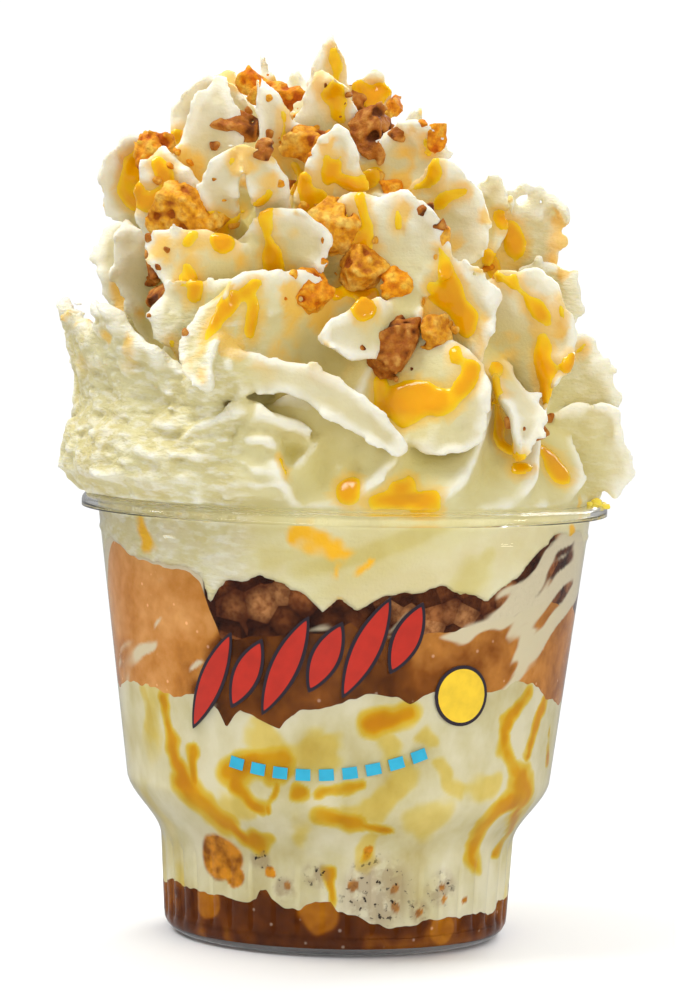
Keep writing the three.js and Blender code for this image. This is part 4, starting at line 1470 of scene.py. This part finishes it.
def crust_pieces(cream):
    golden = [n for n in range(1, PIECES + 1) if n not in DARK + ORANGE]
    kinds = [
        ("dark_crusts", DARK, "dark", "dark_crust", (112, 58, 8), (190, 114, 30), (228, 168, 82)),
        ("golden_crusts", golden, "gold", "crust", (180, 96, 4), (246, 174, 34), (254, 214, 104)),
        ("orange_crusts", ORANGE, "orange", "orange_crust", (216, 112, 2), (254, 168, 16), (255, 210, 80)),
    ]
    for name, numbers, small, slot, *tones in kinds:
        nodes = [f"crust_piece_{n:02d}" for n in numbers]
        lumps = [node_lump(node) for node in nodes]
        for seed, (centre, size) in enumerate(tuple(lumps)):
            if centre[1] < 5:
                lumps += satellites(cream, centre, size, 20 * seed + len(name))
        for x, z, across, tall in SMALL[small]:
            bed = seat(cream, x, z, 0.15 * across)
            lumps.append((bed, (across, 0.8 * across, tall)))
        crumbs(name, lumps, crust_material(name, *tones), slot, *nodes)


# ---- The print ----
def on_wall(u, height, lift):
    """A point `u` millimetres round the wall from the front, `lift` outside it."""
    radius = float(wall_radius(height))
    az = math.radians(-90) + u / radius
    return (radius + lift) * math.cos(az), (radius + lift) * math.sin(az), height


def strip(name, middle, half, colour, lift, steps=72, rows=6):
    """A thin printed band. middle(t) is its centre line and half(t) its half width, for t from
    0 to 1, and it has that many rows of points along and across it."""
    shares = np.linspace(0, 1, steps)
    line = np.array([middle(t) for t in shares])
    run = np.gradient(line, axis=0)
    run /= np.linalg.norm(run, axis=1)[:, None]
    across = np.stack([-run[:, 1], run[:, 0]], 1)
    points = []
    for depth in (lift, -0.1):
        for t, centre, way in zip(shares, line, across):
            for s in np.linspace(-1, 1, rows):
                u, height = centre + s * half(t) * way
                points.append(on_wall(u, height, depth))
    faces = [face[::-1] for face in grid_faces(steps, rows, closed=False)]
    sheet = steps * rows
    faces += [[i + sheet for i in face[::-1]] for face in faces]
    border = list(range(rows))
    border += [(r + 1) * rows - 1 for r in range(1, steps)]
    border += [(steps - 1) * rows + n for n in range(rows - 2, -1, -1)]
    border += [r * rows for r in range(steps - 2, 0, -1)]
    for a, b in zip(border, border[1:] + border[:1]):
        faces.append([a, b, b + sheet, a + sheet])
    piece = mesh_object(name, points, faces, ink_material(name, colour), sharp=50)
    return place(piece, "clear_cup")


def printed_shapes():
    """A rising row of leaf shapes, a disc and a row of short bars: plain fields of colour."""
    outline = (40, 26, 40)

    def leaf(u, height, length):
        """A pointed oval that leans to the right."""
        def middle(t):
            return u + 0.45 * length * (t - 0.5), height + length * (t - 0.5)

        def half(width):
            return lambda t: max(width * math.sin(math.pi * t) ** 0.8, 0.02)

        return middle, half

    def disc(radius):
        def middle(t):
            return 21.5 + radius * (2 * t - 1), 45.5

        def half(t):
            return radius * math.sqrt(max(1 - (2 * t - 1) ** 2, 0.001))

        return middle, half

    leaves = 6
    for n in range(leaves):
        share = n / (leaves - 1)
        tall = (15.5, 10.5)[n % 2]
        at = mix(-23, 11, share), mix(47, 55.5, share)
        middle, half = leaf(*at, tall + 1.6)
        strip(f"leaf_edge_{n + 1}", middle, half(2.6), outline, 0.04, 48, 5)
        middle, half = leaf(*at, tall)
        strip(f"leaf_{n + 1}", middle, half(2.0), (198, 36, 10), 0.08, 48, 5)
    strip("disc_edge", *disc(5.2), outline, 0.04)
    strip("disc", *disc(4.6), (250, 208, 40), 0.08)
    bars = 9
    for n in range(bars):
        start = mix(-19, 12.5, n / (bars - 1))

        def bar(t, start=start):
            u = start + 2.5 * t
            return u, 32.2 + 0.009 * (u + 3) ** 2 + 0.05 * u

        strip(f"bar_{n + 1}", bar, lambda t: 1.0, (40, 180, 216), 0.04, 5, 4)


# ---- The studio ----
def floor_plane():
    """A pale floor near the cup that fades out into the backdrop."""
    s = Shader("studio_floor", Base_Color=(0.95, 0.95, 0.95, 1), Roughness=0.6)
    size = 0.9
    length = s.node("VectorMath", operation="LENGTH")
    s.put(s.object_point(), length.inputs[0])
    fade = s.node("MapRange", interpolation_type="SMOOTHSTEP")
    fade.inputs["From Min"].default_value = 0.05
    fade.inputs["From Max"].default_value = 0.22
    s.put(length.outputs["Value"], fade.inputs["Value"])
    s.let_through(fade.outputs["Result"])
    mesh = bpy.data.meshes.new("studio_floor")
    corners = [(-size, -size, 0), (size, -size, 0), (size, size, 0), (-size, size, 0)]
    mesh.from_pydata(corners, [], [(0, 1, 2, 3)])
    mesh.materials.append(s.material)
    plane = bpy.data.objects.new("studio_floor", mesh)
    plane.location.z = -0.0002
    plane.visible_glossy = False
    bpy.context.scene.collection.objects.link(plane)


def world_light():
    """White behind everything, and softer for what the sundae is lit by and mirrors."""
    seen = 1.05
    world = bpy.data.worlds.new("studio")
    bpy.context.scene.world = world
    world.use_nodes = True
    tree = world.node_tree
    backdrop = tree.nodes["Background"]
    backdrop.inputs["Color"].default_value = (1, 1, 1, 1)
    path = tree.nodes.new("ShaderNodeLightPath")
    strength = backdrop.inputs["Strength"]
    for ray, level in (("Is Diffuse Ray", 0.56), ("Is Glossy Ray", 0.4)):
        change = tree.nodes.new("ShaderNodeMath")
        change.operation = "MULTIPLY_ADD"
        tree.links.new(path.outputs[ray], change.inputs[0])
        change.inputs[1].default_value = level - seen
        tree.links.new(change.outputs[0], strength)
        strength = change.inputs[2]
    strength.default_value = seen


# Lamps: name, place in metres, size, watts, height it aims at, and whether the sundae mirrors it.
LAMPS = [
    ("key", (-0.30, -0.05, 0.72), 0.4, 3.9, 0.08, True),
    ("fill", (0.5, -0.6, 0.30), 0.6, 1.45, 0.08, False),
    ("front", (-0.1, -0.8, 0.02), 0.5, 1.2, 0.03, False),
    ("back", (0.35, 0.6, 0.5), 0.5, 4.8, 0.08, True),
    ("left strip", (-0.65, -0.04, 0.13), 0.08, 0.3, 0.03, True),
    ("right strip", (0.65, -0.12, 0.13), 0.08, 0.22, 0.03, True),
]


def lamps():
    for name, location, size, energy, aim, mirrored in LAMPS:
        light = bpy.data.lights.new(name, "AREA")
        light.energy = energy
        light.size = size
        holder = bpy.data.objects.new(name, light)
        holder.location = location
        look = Vector((0, 0, aim)) - Vector(location)
        holder.rotation_euler = look.to_track_quat("-Z", "Y").to_euler()
        holder.visible_glossy = mirrored
        bpy.context.scene.collection.objects.link(holder)


def camera():
    """A long lens that looks down by a few degrees, turned a little as in a hand."""
    data = bpy.data.cameras.new("camera")
    data.lens = LENS
    data.sensor_width = 36
    data.clip_start = 0.01
    holder = bpy.data.objects.new("camera", data)
    holder.location = Vector(EYE) * MM
    holder.rotation_mode = "QUATERNION"
    look = (Vector(AIM) - Vector(EYE)).to_track_quat("-Z", "Y")
    holder.rotation_quaternion = look @ Quaternion((0, 0, 1), math.radians(ROLL))
    bpy.context.scene.collection.objects.link(holder)
    bpy.context.scene.camera = holder


camera()
world_light()
lamps()
floor_plane()
bpy.context.scene.view_settings.view_transform = "Standard"

place(cup(), "clear_cup", "cup")
cream_floor_line = filling()
cream_field = cream_and_sauce(cream_floor_line)
crust_pieces(cream_field)
printed_shapes()
